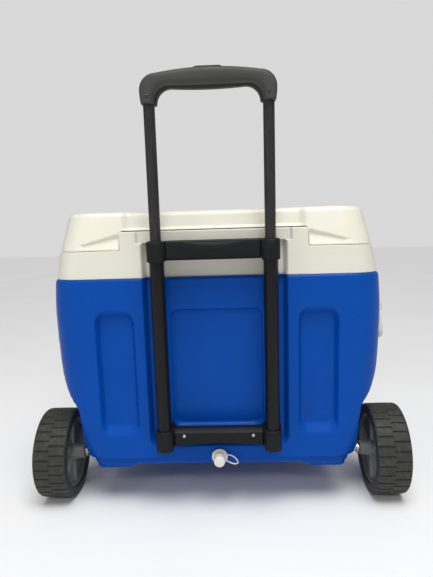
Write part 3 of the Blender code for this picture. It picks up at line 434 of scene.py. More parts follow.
def foam_block(name, colour):
    """Cut foam with open cells, its colour darkened in the cells' hollows as painted shade."""
    nodes = Nodes(name)
    nodes.use("Base Color", nodes.colours(nodes.cells(420), (0.0, shaded(colour, 0.72)), (0.6, colour)))
    nodes.use("Normal", nodes.bump(nodes.cells(420), 0.0008, 0.7))
    nodes.set(Roughness=0.92)
    return nodes.material


def painted_tube(name, colour):
    """Satin paint on drawn tube: faint streaks along it and uneven gloss."""
    nodes = Nodes(name)
    streaks = nodes.noise(60, 4, (9, 9, 0.35))
    nodes.use("Base Color", nodes.colours(streaks, (0.35, shaded(colour, 0.8)), (0.75, shaded(colour, 1.3))))
    nodes.use("Roughness", nodes.spread(nodes.noise(140, 5), 0.27, 0.42))
    nodes.use("Normal", nodes.bump(streaks, 0.00012, 0.4))
    nodes.set(Metallic=0.1, Specular_IOR_Level=0.16, Coat_Weight=0.05, Coat_Roughness=0.2)
    return nodes.material


def zinc_steel(name, dark, bright):
    """Plated steel with faint brush marks along X."""
    nodes = Nodes(name)
    brushed = nodes.noise(240, 4, (0.25, 1, 1))
    nodes.use("Base Color", nodes.colours(brushed, (0.3, dark), (0.7, bright)))
    nodes.use("Roughness", nodes.spread(nodes.noise(90, 4), 0.24, 0.42))
    nodes.use("Normal", nodes.bump(brushed, 0.0001, 0.5))
    nodes.set(Metallic=1.0)
    return nodes.material


def rolled_tread(name, colour, dust):
    """Hard tyre plastic that has rolled, with uneven patches of dust and scuffs."""
    nodes = Nodes(name)
    scuffs = nodes.noise(130, 6, roughness=0.65)
    nodes.use("Base Color", nodes.colours(scuffs, (0.25, shaded(colour, 0.75)), (0.55, colour), (0.85, dust)))
    nodes.use("Roughness", nodes.spread(nodes.noise(60, 5), 0.48, 0.68))
    nodes.use("Normal", nodes.bump(nodes.noise(420, 4), 0.0003, 0.6))
    nodes.set(Specular_IOR_Level=0.30)
    return nodes.material


# colour, roughness, the grain's scale and depth, mottle, and the specular level where it isn't 0.5
BLUE = moulded_plastic("blue_plastic", (0.0006, 0.062, 0.35), 0.31, 620, 0.00022, 0.05, 0.09)
WHITE = moulded_plastic("white_plastic", (0.71, 0.69, 0.60), 0.36, 900, 0.00008, 0.02)
CREAM = moulded_plastic("cream_plastic", (0.74, 0.715, 0.61), 0.34, 900, 0.00008, 0.02)
BLACK = moulded_plastic("black_plastic", (0.009, 0.010, 0.011), 0.46, 1100, 0.00014, 0.10, 0.14)
GRIP_GREY = moulded_plastic("grip_plastic", (0.043, 0.043, 0.042), 0.55, 1300, 0.00020, 0.10, 0.30)
RIM_GREY = moulded_plastic("rim_plastic", (0.165, 0.166, 0.158), 0.50, 800, 0.00016, 0.14, 0.4)
DARK_GREY = moulded_plastic("dark_grey_plastic", (0.060, 0.061, 0.058), 0.46, 800, 0.00016, 0.14)
FITTING = moulded_plastic("fitting_plastic", (0.70, 0.685, 0.61), 0.36, 900, 0.00006, 0.02)
RUBBER = moulded_plastic("black_rubber", (0.015, 0.015, 0.015), 0.75, 1200, 0.00010, 0.15, 0.3)
TUBE = painted_tube("painted_tube", (0.008, 0.008, 0.009))
# the sliding tubes' paint is lighter than the fixed tubes' partly for a lighter finish of their own and
# partly as painted light, since the upper tubes stand in more light
LIT_SLIDING_TUBE = painted_tube("sliding_tube_painted_light", (0.030, 0.030, 0.031))
STEEL = zinc_steel("zinc_steel", (0.46, 0.47, 0.48), (0.66, 0.66, 0.65))
DULL_STEEL = zinc_steel("dull_zinc", (0.05, 0.05, 0.05), (0.10, 0.10, 0.10))
TREAD = rolled_tread("tread", (0.034, 0.034, 0.031), (0.092, 0.090, 0.078))
FOAM = foam_block("foam", (0.75, 0.64, 0.34))


# ---------------- blue shell
def shell_depth(x, z, wall):
    """How far the shell's rear and front walls are pressed in at a point."""
    pockets = recess(abs(x), z, **POCKET)
    if wall == "front":
        return pockets + recess(x, z, **FAR_POCKET)
    return pockets + recess(x, z, **CHANNEL) + recess(x, z, **PANEL)


def shell_ring(z, inset=0.0, details=True):
    """A ring round the shell at a height, drawn in by the inset, with its recesses if details is set."""
    back = set_back(z)
    half = half_width(z) - inset
    rear, front = rear_wall(z) + back + inset, front_wall(z) - back - inset
    ring = []
    for x, y, wall in outline(half, rear, front, max(corner_radius(z) - inset * 0.5, 0.004)):
        if details and wall in ("rear", "front"):
            y += shell_depth(x, z, wall) * (1 if wall == "rear" else -1)
        side = arch_side(math.hypot(y, z - AXLE_Z)) - inset
        if abs(x) > ARCH_NEAR:
            x = math.copysign(smooth_min(abs(x), side, ARCH_BLEND), x)
        lift = (BELLY_Z - BASE_Z) * (1 - smooth_step(abs(x), BELLY_HALF, BELLY_HALF + BELLY_SLOPE))
        ring.append((x, y, z + lift * (1 - smooth_step(z, BASE_Z, BELLY_FADE_Z))))
    return ring


# rows of the shell, closer at its lower edge, the step of the skirt and the ends of the recesses
SHELL_LEVELS = steps((BASE_Z, 0.0750, 0.0008), (0.0750, 0.0874, 0.003), (0.0874, 0.0906, 0.0004),
                     (0.0906, 0.106, 0.003), (0.106, 0.156, 0.0018), (0.156, 0.210, 0.0030),
                     (0.210, 0.316, 0.0055), (0.316, 0.348, 0.0016), (0.348, 0.383, 0.005),
                     (0.383, SEAM_Z, 0.0010))
FLOOR_TOP_Z, HOLLOW_TOP_Z, HOLLOW_INSET, HOLLOW_RING_Z = 0.086, 0.385, 0.020, 0.100


def outer_shell():
    base = [shell_ring(BASE_Z, inset, False) for inset in (0.05, 0.02, 0.006, 0.002)]
    walls = [shell_ring(z) for z in SHELL_LEVELS]
    inside = [shell_ring(SEAM_Z, WALL, False), shell_ring(HOLLOW_TOP_Z, HOLLOW_INSET, False)]
    for inset in (HOLLOW_INSET, HOLLOW_INSET * 3):
        inside.append([(x, y, FLOOR_TOP_Z) for x, y, _ in shell_ring(HOLLOW_RING_Z, inset, False)])
    shell = place("blue_shell", skin(base + walls + inside), "root", "blue_shell", BLUE, "outer_shell")
    cut(shell, block((-0.3, AXLE.y - GROOVE_HALF, BASE_Z - 0.01), (0.3, AXLE.y + GROOVE_HALF, GROOVE_TOP)))


PAD_MIDDLE_X, PAD_TOP_Z, PAD_GAP, PAD_ROUND = 0.1770, 0.0735, 0.0004, 0.0008


def clamp_pads():
    """The low blue pads under the ends of the skirt that hold the axle up into its groove."""
    low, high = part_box("axle_clamp_right")
    near, far = rear_wall(BASE_Z) + set_back(BASE_Z) + PAD_GAP, high.y - AXLE.y
    section = [(0.1460, PAD_TOP_Z), (0.1460, 0.0712), (0.1488, 0.0694), (0.1515, 0.0680), (0.1550, low.z),
               (0.2010, low.z), (0.2040, 0.0684), (0.2062, 0.0702), (0.2074, 0.0724), (0.2074, PAD_TOP_Z)]
    middle_z = (low.z + high.z) / 2
    for hand, side in SIDES:
        rings = []
        for y, shrink in ((near, 0.985), (near + PAD_ROUND, 1), (far - PAD_ROUND, 1), (far, 0.985)):
            rings.append([(hand * lerp(PAD_MIDDLE_X, x, shrink), y, lerp(middle_z, z, shrink))
                          for x, z in section])
        place(f"clamp_pad_{side}", skin(rings), "root", "blue_clamp", BLUE, f"axle_clamp_{side}")


# ---------------- collar and tub
def step_height(x, half, low, high, foot, crown):
    """A step down at |x| = half, with a rounded crown above it and a rounded foot below."""
    out = abs(x) - half
    if out >= 0:
        return low + foot - math.sqrt(foot ** 2 - max(foot - out, 0) ** 2)
    return high - crown + math.sqrt(crown ** 2 - max(crown + out, 0) ** 2)


def collar_top(x, wall):
    """The height of the collar's top edge, with its raised middle on the handle side."""
    return step_height(x, RISER_HALF, LID_Z, RISER_Z, 0.005, 0.004) if wall == "rear" else LID_Z


COLLAR_LOW_Z = SEAM_Z + 0.0003
COLLAR_COLUMNS = steps((0, 0.098, 0.014), (0.1035, 0.1255, 0.00125), (0.130, 0.140, 0.005),
                       (0.1405, 0.1515, 0.0005))
COLLAR_SHARES = steps((0.02, 0.70, 0.017), (0.70, 0.78, 0.004), (0.78, 0.97, 0.019))


def collar_ring(share, inset=0.0, fall=0.0):
    """A ring of the collar's outside: share 0 is its bottom edge, 1 its top edge less fall."""
    half = lerp(COLLAR_LOW_HALF, COLLAR_HIGH_HALF, share) - inset
    rear, front = rear_wall(LID_Z) + COLLAR_BACK + inset, COLLAR_FRONT - inset
    ring = []
    for x, y, wall in outline(half, rear, front, CORNER - inset, COLLAR_COLUMNS):
        z = lerp(COLLAR_LOW_Z, collar_top(x, wall) - fall, share)
        if wall in ("rear", "corner") and y < 0:
            y += rear_wall(z) - rear_wall(LID_Z)
        if wall == "rear":
            y += max(recess(x, z, **COLLAR_CHANNEL), recess(x, z, **COLLAR_HEADER))
        ring.append((x, y, z))
    return ring


def tub_ring(share, grow=0.0, fall=0.0, floor=CAVITY_FLOOR_Z):
    """A ring of the tub: share 0 is its floor, 1 its mouth less fall."""
    half, rear, front = (lerp(low, high, share) for low, high in zip(CAVITY_LOW, CAVITY_HIGH))
    radius = max(CAVITY_CORNER + grow, 0.012)
    return [(x, y, lerp(floor, collar_top(x, wall) - fall, share))
            for x, y, wall in outline(half + grow, rear - grow, front + grow, radius, COLLAR_COLUMNS)]


def deck_ring(outer, inner, t):
    """A ring of the flat edge between the collar's rim and the tub's mouth."""
    return [(lerp(a[0], b[0], t), lerp(a[1], b[1], t), max(a[2], b[2])) for a, b in zip(outer, inner)]


def shrunk(ring, share, z):
    """A ring drawn towards the middle of the tub, at a height."""
    return [(x * share, CAVITY_MIDDLE_Y + (y - CAVITY_MIDDLE_Y) * share, z) for x, y, _ in ring]


COLLAR_EDGE, MOUTH_EDGE, TUB_FILLET = 0.0016, 0.0020, 0.014
COLLAR_HIDDEN = WALL + 0.012


def inner_liner():
    corner = [(math.sin(math.radians(a)), 1 - math.cos(math.radians(a))) for a in (0, 22, 45, 68, 90)]
    outside = [collar_ring(0, 0.0012), collar_ring(0.008, 0.0003)]
    outside += [collar_ring(share) for share in COLLAR_SHARES]
    rim = [collar_ring(1, COLLAR_EDGE * back, COLLAR_EDGE * (1 - rise)) for rise, back in corner]
    mouth = [tub_ring(1, MOUTH_EDGE * (1 - rise), MOUTH_EDGE * back) for rise, back in corner]
    deck = [deck_ring(rim[-1], mouth[0], t) for t in (0.25, 0.5, 0.75)]
    tub = [tub_ring(share) for share in steps((0.985, 0.045, 0.06))]
    floor = []
    for turn in (math.radians(a) for a in (25, 45, 65, 90)):
        z = CAVITY_FLOOR_Z + TUB_FILLET * (1 - math.sin(turn))
        floor.append([(x, y, z) for x, y, _ in tub_ring(0, -TUB_FILLET * (1 - math.cos(turn)))])
    floor += [shrunk(floor[-1], share, CAVITY_FLOOR_Z) for share in (0.7, 0.3)]
    under_z = CAVITY_FLOOR_Z - LINER_WALL
    back_floor = tub_ring(0, LINER_WALL, floor=under_z)
    hidden = [shrunk(back_floor, 0.5, under_z), back_floor, tub_ring(0.80, LINER_WALL),
              collar_ring(0, COLLAR_HIDDEN)]
    mesh = skin(hidden + outside + rim + deck + mouth + tub + floor)
    place("white_collar_and_tub", mesh, "root", "white_liner", WHITE, "inner_liner")


# ---------------- lid
LID_COLUMNS = steps((0, 0.126, 0.014), (0.1285, 0.1405, 0.0012), (0.1410, 0.1515, 0.0005))
LID_SHARES = steps((0, 0.03, 0.01), (0.03, 0.97, 0.022), (0.97, 1, 0.015))
SCOOP_OUTER, SCOOP_RISE, SCOOP_DEPTH = 0.236, 0.0265, 0.0060
LIP_HEIGHT, LIP_OUT = 0.0055, 0.0026  # the ridge along the foot of the recess in the lid's rear wall
LOWER_ROUND, LOWER_SHARE = 0.0012, 0.03  # how the lower edge is rounded, over that share of the wall
TOP_PLATE = ((0.020, 0), (0.0215, 0.0003), (0.0235, 0.0012), (0.0250, 0.0015), (0.08, 0.0015))
UNDER_CORNER, UNDER_Z, LID_THICK = 0.030, LOWER_EDGE_Z + 0.0002, 0.008


def lid_bottom(x, y, wall):
    """The lid's lower edge, lifted over the raised middle of the collar."""
    if y > NOTCH_FRONT + 0.0001 or wall not in ("rear", "corner"):
        return LOWER_EDGE_Z
    return step_height(x, NOTCH_HALF, LOWER_EDGE_Z, NOTCH_Z, 0.004, 0.005)


def scoop_depth(x, z):
    """The finger scoops in the ends of the lid's rear wall, under a crease that falls outwards."""
    u = (abs(x) - NOTCH_HALF) / (SCOOP_OUTER - NOTCH_HALF)
    if not 0 <= u <= 1:
        return 0.0
    crease = LID_Z + 0.0012 + SCOOP_RISE * (1 - u) ** 0.9
    below = (crease - z) / (crease - LID_Z)
    if below <= 0:
        return 0.0
    full = SCOOP_DEPTH * (1 - u) ** 0.7 * smooth_step(u, 0.0, 0.03)
    return full * smooth_step(below, 0, 0.22) * (1 - 0.45 * smooth_step(below, 0.25, 1.0))


def lid_depth(x, z):
    """How far the lid's rear wall is pressed in between its ends, less the ridge, and in the scoops."""
    inside = 1 - ramp((abs(x) - (LID_RECESS_HALF - LID_RECESS_SLOPE)) / LID_RECESS_SLOPE, 0.45)
    lip = LIP_OUT * (1 - ramp((z - NOTCH_Z) / LIP_HEIGHT, 0.2))
    return (LID_RECESS - lip) * inside + scoop_depth(x, z)


def lid_place(z):
    """How far up the lid a height is, from 0 at the collar to 1 at the top."""
    return (z - LID_Z) / (TOP_Z - LID_Z)


def lid_sizes(t):
    """The lid's half width, rear and front at a place up it."""
    return (lerp(low, high, t) for low, high in zip(LID_LOW, LID_HIGH))


def lid_wall_ring(share):
    """A ring of the lid's walls, from the lower edge at share 0 to the rounded top edge at 1."""
    wall_top = TOP_Z - LID_EDGE
    half, rear, front = lid_sizes(share * lid_place(wall_top))
    tuck = LOWER_ROUND * (1 - min(share / LOWER_SHARE, 1)) ** 2
    ring = []
    for x, y, wall in outline(half - tuck, rear, front - tuck, LID_CORNER - tuck, LID_COLUMNS):
        z = lerp(lid_bottom(x, y, wall), wall_top, share)
        if wall == "rear":
            y = lerp(LID_LOW[1], LID_HIGH[1], lid_place(z)) + tuck + lid_depth(x, z)
        ring.append((x, y, z))
    return ring


def lid_top_ring(z, inset, level):
    """A ring of the lid's top, shaped as at height z, drawn in by the inset and put at a level."""
    half, rear, front = lid_sizes(lid_place(min(z, TOP_Z)))
    shape = outline(half - inset, rear + inset, front - inset, max(LID_CORNER - inset, 0.006), LID_COLUMNS)
    return [(x, y + (lid_depth(x, z) if wall == "rear" else 0), level) for x, y, wall in shape]


def lid_under_ring(half, rear, front, z=None):
    """A ring under the lid at a height z, or else at the lid's lower edge."""
    return [(x, y, z or max(lid_bottom(x, y, wall), UNDER_Z))
            for x, y, wall in outline(half, rear, front, UNDER_CORNER, LID_COLUMNS)]


def lid_shell():
    rings = [lid_wall_ring(share) for share in LID_SHARES]
    for turn in (math.radians(a) for a in (15, 30, 45, 60, 75, 90)):
        z = TOP_Z - LID_EDGE + LID_EDGE * math.sin(turn)
        rings.append(lid_top_ring(z, LID_EDGE * (1 - math.cos(turn)), z))
    for inset, sink in TOP_PLATE:
        rings.append(lid_top_ring(TOP_Z, inset + LID_EDGE * 0.5, TOP_Z - sink))
    edge = lid_under_ring(0.236, NOTCH_FRONT, 0.303)
    under = [lid_under_ring(0.226, NOTCH_FRONT + 0.006, 0.296, TOP_Z - LID_THICK),
             lid_under_ring(0.2352, NOTCH_FRONT + 0.0008, 0.3022, UNDER_Z), edge]
    for t in (0.8, 0.4):
        under.append([(lerp(a[0], b[0], t), lerp(a[1], b[1], t), max(a[2], b[2], UNDER_Z))
                      for a, b in zip(rings[0], edge)])
    under.append([(x * 0.996, lerp(y, CAVITY_MIDDLE_Y, 0.004), max(z, UNDER_Z)) for x, y, z in rings[0]])
    place("lid_cover", skin(under + rings), "lid", "cream_lid", CREAM, "lid_shell")


# ---------------- wheels
TREAD_BLOCKS, TREAD_DEPTH, GROOVE_SHARE, GROOVE_SIDE = 30, 0.0022, 0.085, 0.045
CROWN_FALL, CROWN_EDGE, TREAD_SHARP = 0.0002, 0.0225, 28


def tread_drop(x, turn):
    """How deep the tread is cut: two rows of blocks, staggered by half a block."""
    phase = (turn * TREAD_BLOCKS / (2 * math.pi) + (0.5 if x > 0 else 0)) % 1
    return TREAD_DEPTH * (1 - ramp((min(phase, 1 - phase) - GROOVE_SHARE / 2) / GROOVE_SIDE, 0.3))


def tyre(hand, side):
    count = TREAD_BLOCKS * 12
    # across, radius, and the share of the tread's depth that is cut there
    shoulder = [(WHEEL_HALF, TYRE_INNER + 0.0008, 0), (WHEEL_HALF, 0.0640, 0), (WHEEL_HALF, 0.0700, 0),
                (WHEEL_HALF - 0.0002, 0.0725, 0.15), (WHEEL_HALF - 0.0010, 0.0742, 0.7),
                (WHEEL_HALF - 0.0025, 0.0752, 1), (WHEEL_HALF - 0.0050, 0.0757, 1)]
    crown = [(x, WHEEL_RADIUS - CROWN_FALL * (x / CROWN_EDGE) ** 2, 1)
             for x in (0.015, 0.007, 0.0011, 0.0004)]
    half = shoulder + crown
    bore = [(-0.0270, TYRE_INNER, 0), (0.0270, TYRE_INNER, 0)]
    profile = half + [(-x, r, k) for x, r, k in reversed(half)] + bore
    rings = []
    for x, radius, share in profile:
        ring = []
        for i in range(count):
            turn = 2 * math.pi * (i + 0.5) / count
            r = radius - share * tread_drop(x, turn)
            ring.append((hand * WHEEL_X + x, r * math.cos(turn), AXLE_Z + r * math.sin(turn)))
        rings.append(ring)
    place(f"tyre_{side}", skin(rings, wrap=True), f"wheel_{side}", "tyre", TREAD, f"wheel_tyre_{side}",
          sharp=TREAD_SHARP)


RIM_POINTS, RIM_SHARP = 180, 34
RIBS, RIB_HALF, RIB_SIDE = 6, 0.0032, 0.0022
OUTER_FACE, INNER_FACE = 0.0040, 0.0168  # how far the disc's two faces are from the wheel's middle
RIB_AT_HUB, RIB_AT_BARREL, INNER_RIB = 0.0150, 0.0085, 0.0048
KNOB_AT, KNOB_RADIUS, KNOB_HEIGHT = 0.040, 0.0055, 0.0050
RIM_RINGS = steps((0.0166, 0.0200, 0.0017), (0.0200, 0.0500, 0.0030), (0.0500, 0.0552, 0.0013))
# the rim's barrel, hub and back edge as (radius, distance out from the wheel's middle)
BARREL = ((RIM_RADIUS, -0.0238), (RIM_RADIUS, 0.0238), (RIM_RADIUS - 0.0007, 0.0245),
          (0.0572, 0.0245), (0.0566, 0.0238), (0.0560, 0.0060))
HUB = ((0.0156, 0.0175), (0.0150, 0.0185), (0.0142, 0.0190), (0.0060, 0.0190), (0.0054, 0.0184),
       (0.0054, -0.0400), (0.0060, -0.0405), (0.0110, -0.0405), (0.0116, -0.0398), (0.0126, -0.0300),
       (0.0150, -0.0215))
RIM_BACK = ((0.0560, -0.0170), (0.0566, -0.0238), (0.0572, -0.0245), (RIM_RADIUS - 0.0007, -0.0245))


def rim_side(radius, turn, face):
    """How far a face of the disc is from the wheel's middle, with ribs, and knobs on the outer face."""
    phase = (turn * RIBS / (2 * math.pi)) % 1
    rib = 1 - ramp((min(phase, 1 - phase) * 2 * math.pi / RIBS * radius - RIB_HALF) / RIB_SIDE)
    if face < 0:
        return INNER_FACE + rib * INNER_RIB
    rise = lerp(RIB_AT_HUB, RIB_AT_BARREL, (radius - 0.0166) / 0.0386)
    off_knob = math.hypot(radius - KNOB_AT, abs(phase - 0.5) * 2 * math.pi / RIBS * radius)
    return OUTER_FACE + max(rib * rise, KNOB_HEIGHT * (1 - ramp((off_knob - KNOB_RADIUS) / RIB_SIDE)))


def rim_ring(radius, level=None, face=1):
    """A ring of the rim at a level, or on a face of its disc."""
    ring = []
    for i in range(RIM_POINTS):
        a = 2 * math.pi * i / RIM_POINTS
        height = face * rim_side(radius, a, face) if level is None else level
        ring.append((radius * math.cos(a), radius * math.sin(a), height))
    return ring


def rim(hand, side):
    rings = [rim_ring(*spot) for spot in BARREL]
    rings += [rim_ring(radius, face=1) for radius in reversed(RIM_RINGS)]
    rings += [rim_ring(*spot) for spot in HUB]
    rings += [rim_ring(radius, face=-1) for radius in RIM_RINGS]
    rings += [rim_ring(*spot) for spot in RIM_BACK]
    outwards = Matrix.Rotation(hand * math.pi / 2, 4, "Y")
    spot = Matrix.Translation((hand * WHEEL_X, AXLE.y, AXLE_Z)) @ outwards
    place(f"rim_{side}", skin(rings, wrap=True), f"wheel_{side}", "grey_plastic", RIM_GREY,
          f"wheel_rim_{side}", spot, RIM_SHARP)


# ---------------- telescoping handle
def oval(half, x, s, count=64):
    """A ring of an oval tube at a height s."""
    return [(x + half[0] * math.cos(2 * math.pi * i / count), half[1] * math.sin(2 * math.pi * i / count), s)
            for i in range(count)]


def tube(name, half, span, x, body, node, material):
    bore = (half[0] - TUBE_WALL, half[1] - TUBE_WALL)
    low, high = span
    thin = (half[0] - TUBE_EDGE, half[1] - TUBE_EDGE)
    rings = [oval(thin, x, low), oval(half, x, low + TUBE_EDGE), oval(half, x, high - TUBE_EDGE),
             oval(thin, x, high), oval(bore, x, high), oval(bore, x, low)]
    return place_on_handle(name, skin(rings, wrap=True), body, "black_tube", material, node)


def tubes():
    for hand, side in SIDES:
        x = hand * TUBE_X
        fixed = tube(f"lower_tube_{side}", OUTER_TUBE, OUTER_SPAN, x, "root", f"outer_tube_{side}", TUBE)
        # the upper tube's lighter colour is partly painted light
        tube(f"upper_tube_{side}", INNER_TUBE, INNER_SPAN, x, "handle", f"inner_tube_{side}", LIT_SLIDING_TUBE)
        for height in LOCK_HEIGHTS:
            hole = cylinder_x(LOCK_RADIUS, *sorted((x, x + hand * 0.03)), (0, height))
            hole.transform(HANDLE)
            cut(fixed, hole)


def rounded(half_a, half_b, radius, count=8):
    """Points round a rectangle with round corners, about its middle."""
    points = []
    for a, b, start in ((1, -1, -90), (1, 1, 0), (-1, 1, 90), (-1, -1, 180)):
        points += arc((a * (half_a - radius), b * (half_b - radius)), radius, start, start + 90, count)
    return points


SLEEVE_DEPTH, SLEEVE_CORNER, SLEEVE_ROOM = 0.0163, 0.0105, 0.0003
# up a sleeve's outside: share of its height, and how far it stands in there
SLEEVE_OUT = ((0.0, 0.0014), (0.012, 0.0006), (0.045, 0.0), (0.955, 0.0), (0.988, 0.0006), (1.0, 0.0014))


def sleeve(x, half, low, high):
    """A rounded sleeve round a tube."""
    bore = [h + SLEEVE_ROOM for h in OUTER_TUBE]
    rings = []
    for share, inset in SLEEVE_OUT:
        shape = rounded(half - inset, SLEEVE_DEPTH - inset, SLEEVE_CORNER - inset)
        rings.append([(x + a, b, lerp(low, high, share)) for a, b in shape])
    turns = [math.atan2(b / SLEEVE_DEPTH, a / half) for a, b in rounded(half, SLEEVE_DEPTH, SLEEVE_CORNER)]
    for s in (high, low):
        rings.append([(x + bore[0] * math.cos(turn), bore[1] * math.sin(turn), s) for turn in turns])
    return skin(rings, wrap=True)


BAR_GROOVE, BAR_GROOVE_HALF, BAR_GROOVE_DEPTH = 0.0712, 0.0013, 0.0034  # where a bar meets its sleeves
BAR_FRONT = 0.0035  # the parts of a bar in front of this depth are grooved
BAR_PLACES = steps((0, 0.0690, 0.003), (0.0692, 0.0744, 0.0004))


def crossbar(section):
    """A bar along X whose section changes: section(x) gives (depth, height) points."""
    places = [-x for x in reversed(BAR_PLACES[1:])] + BAR_PLACES
    rings = []
    for x in places:
        groove = BAR_GROOVE_DEPTH * max(1 - ((abs(x) - BAR_GROOVE) / BAR_GROOVE_HALF) ** 2, 0)
        rings.append([(x, b + groove * (b < BAR_FRONT), s) for b, s in section(x)])
    return skin(rings)


def channel_floor(back):
    """The depth of the channel's floor behind the tubes, where the wall is set back by that much."""
    return (rear_wall(0) - TUBE_Y) * math.cos(LEAN) + CHANNEL_DEPTH - 0.0003 + back


def upper_section(x):
    """The upper bar, with a scoop in the middle of its top front edge."""
    scoop = max(1 - (x / 0.044) ** 2, 0)
    face, floor, top, low = -0.0125, channel_floor(COLLAR_BACK), 0.4478, 0.4192
    drop, back = 0.0009 + 0.0062 * scoop, 0.0009 + 0.0075 * scoop
    return [(face, 0.4255), (face, top - drop), (face + back * 0.35, top - drop * 0.30), (face + back, top),
            (floor, top), (floor, low), (face + 0.0060, low), (face + 0.0050, low + 0.0002)]


def lower_section(x):
    """The lower bar, arched below, with a slope on its top front edge and a top that falls to the wall."""
    face, floor = -0.0040, channel_floor(0)
    low = 0.1185 + 0.0055 * max(1 - (x / 0.073) ** 2, 0)
    return [(face, low + 0.0010), (face, 0.1414), (face + 0.0006, 0.1420), (face + 0.0062, 0.1472),
            (face + 0.0072, 0.1474), (floor, 0.1402), (floor, low), (face + 0.0010, low)]


# name, section, the wall's set-back behind it, sleeves' half width, low and high, foot of their pads
BRACKETS = (("upper", upper_section, COLLAR_BACK, 0.0140, 0.4170, 0.4480, 0.4200),
            ("lower", lower_section, 0.0, 0.0134, 0.1130, 0.1475, 0.1280))
PAD_INNER, PAD_OUTER, PAD_NEAR, PAD_DROP = TUBE_X - 0.013, 0.1004, 0.0130, 0.0015


def brackets():
    for name, section, back, half, low, high, pad_low in BRACKETS:
        mesh = crossbar(section)
        for hand, _ in SIDES:
            join(mesh, sleeve(hand * TUBE_X, half, low, high))
            near, far = sorted((hand * PAD_INNER, hand * PAD_OUTER))
            join(mesh, block((near, PAD_NEAR, pad_low), (far, channel_floor(back), high - PAD_DROP)))
        place_on_handle(f"{name}_crossbar", mesh, "root", "black_bracket", BLACK, f"{name}_bracket")


def grip_stations():
    """Matching inner and outer points along half of the grip's arch, from its middle to its foot."""
    flat_half, top, under = GRIP_HALF - GRIP_SHOULDER, GRIP_TOP - GRIP_CROWN, GRIP_UNDER
    stations = []
    for x in steps((0, GRIP_STRAIGHT, 0.0035)):
        reach = x / GRIP_STRAIGHT
        stations.append(((reach * (LEG_INNER - GRIP_FILLET), under - GRIP_BELLY * (1 - reach ** 2)),
                         (reach * flat_half, GRIP_TOP - GRIP_CROWN * reach ** 2)))
    outer = arc((flat_half, top - GRIP_SHOULDER), GRIP_SHOULDER, 90, 0, 16)[1:]
    inner = arc((LEG_INNER - GRIP_FILLET, under - GRIP_FILLET), GRIP_FILLET, 90, 0, 16)[1:]
    stations += list(zip(inner, outer))
    low_in, low_out = under - GRIP_FILLET, top - GRIP_SHOULDER
    for t in steps((0, 1, 0.1))[1:]:
        stations.append(((LEG_INNER, lerp(low_in, GRIP_LOW, t)),
                         (GRIP_HALF - LEG_TAPER * t * t, lerp(low_out, GRIP_LOW, t))))
    return stations


def grip_section(inner, outer, sign, pinch=0.0, count=22):
    """Half of a rounded section between an inner and an outer point, with a groove along the seam.

    The sign picks the half, and the section is drawn in by the pinch.
    """
    inner, outer = Vector(inner), Vector(outer)
    if sign < 0:
        inner += (outer - inner).normalized() * GRIP_LIP
    centre, reach = (inner + outer) / 2, (outer - inner) / 2
    points = []
    for i in range(count + 1):
        a = math.pi * i / count
        u = math.copysign(abs(math.cos(a)) ** GRIP_ROUND, math.cos(a))
        v = abs(math.sin(a)) ** GRIP_ROUND
        groove = SEAM_GROOVE * (1 - smooth_step(v * GRIP_DEPTH, 0.0002, 0.0011))
        spot = centre + reach * u * (1 - (pinch + groove) / reach.length)
        points.append((spot.x, sign * max(v * (GRIP_DEPTH - pinch), SEAM_GAP), spot.y))
    return points


def grip():
    """The grip's two halves, each swept along the arch, with rounded feet and a well for the button."""
    half = grip_stations()
    whole = [((-i[0], i[1]), (-o[0], o[1])) for i, o in reversed(half[1:])] + half
    for half_name, sign in (("rear", -1), ("front", 1)):
        rings = [grip_section(i, o, sign) for i, o in whole]
        for end in (0, -1):
            rounds = []
            for turn in (math.radians(a) for a in (30, 60, 90)):
                ring = grip_section(*whole[end], sign, GRIP_FOOT_ROUND * (1 - math.cos(turn)))
                rounds.append([(x, b, s - GRIP_FOOT_ROUND * math.sin(turn)) for x, b, s in ring])
            rings = rounds[::-1] + rings if end == 0 else rings + rounds
        shell = place_on_handle(f"grip_{half_name}_half", skin(rings), "handle", "grey_grip", GRIP_GREY,
                                f"grip_{half_name}_shell")
        opening = rounded(BUTTON_HALF + BUTTON_ROOM, BUTTON_DEPTH + BUTTON_ROOM, BUTTON_CORNER)
        well = skin([[(a, b, s) for a, b in opening] for s in (BUTTON_LOW - BUTTON_WELL, GRIP_TOP + 0.01)])
        well.transform(HANDLE)
        cut(shell, well)


# up the button: share of its height, and how far it stands in there
BUTTON_OUT = ((0, 0.0010), (0.05, 0), (0.60, 0), (0.80, 0.0005), (0.93, 0.0016), (1.0, 0.0036))
BUTTON_CORNER, BUTTON_CROWN = 0.0050, 0.0026


def release_button():
    rings = []
    for share, inset in BUTTON_OUT:
        shape = rounded(BUTTON_HALF - inset, BUTTON_DEPTH - inset, max(BUTTON_CORNER - inset * 0.5, 0.002))
        crown, s = BUTTON_CROWN * (share > 0.5), lerp(BUTTON_LOW, BUTTON_HIGH, share)
        rings.append([(a, b, s - crown * (a / BUTTON_HALF) ** 2) for a, b in shape])
    place_on_handle("button_cap", skin(rings), "button", "black_button", BLACK, "release_button")


SCREW_LENGTH, SCREW_SHANK, CROSS_HALF, CROSS_DEPTH = 0.006, 0.0016, 0.0003, 0.0009


def screw(node, body, radius, material):
    """A small cross-head screw where the CAD model has one, set square to the leaning tubes."""
    centre = middle(node)
    spot = Matrix.Translation((centre.x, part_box(node)[0].y, centre.z)) @ Matrix.Rotation(LEAN, 4, "X")
    profile = [(0.0002, 0.0), (radius * 0.35, 0.0), (radius * 0.75, 0.0003), (radius * 0.94, 0.0008),
               (radius, 0.0014), (radius, 0.0018), (SCREW_SHANK, 0.0019), (SCREW_SHANK, SCREW_LENGTH),
               (0.0002, SCREW_LENGTH)]
    obj = place(f"{node}_head", turned_y(profile), body, "zinc_steel", material, node, spot)
    for a, b in ((CROSS_HALF, radius * 0.6), (radius * 0.6, CROSS_HALF)):
        slot = block((-a, -0.001, -b), (a, CROSS_DEPTH, b))
        slot.transform(spot)
        cut(obj, slot)


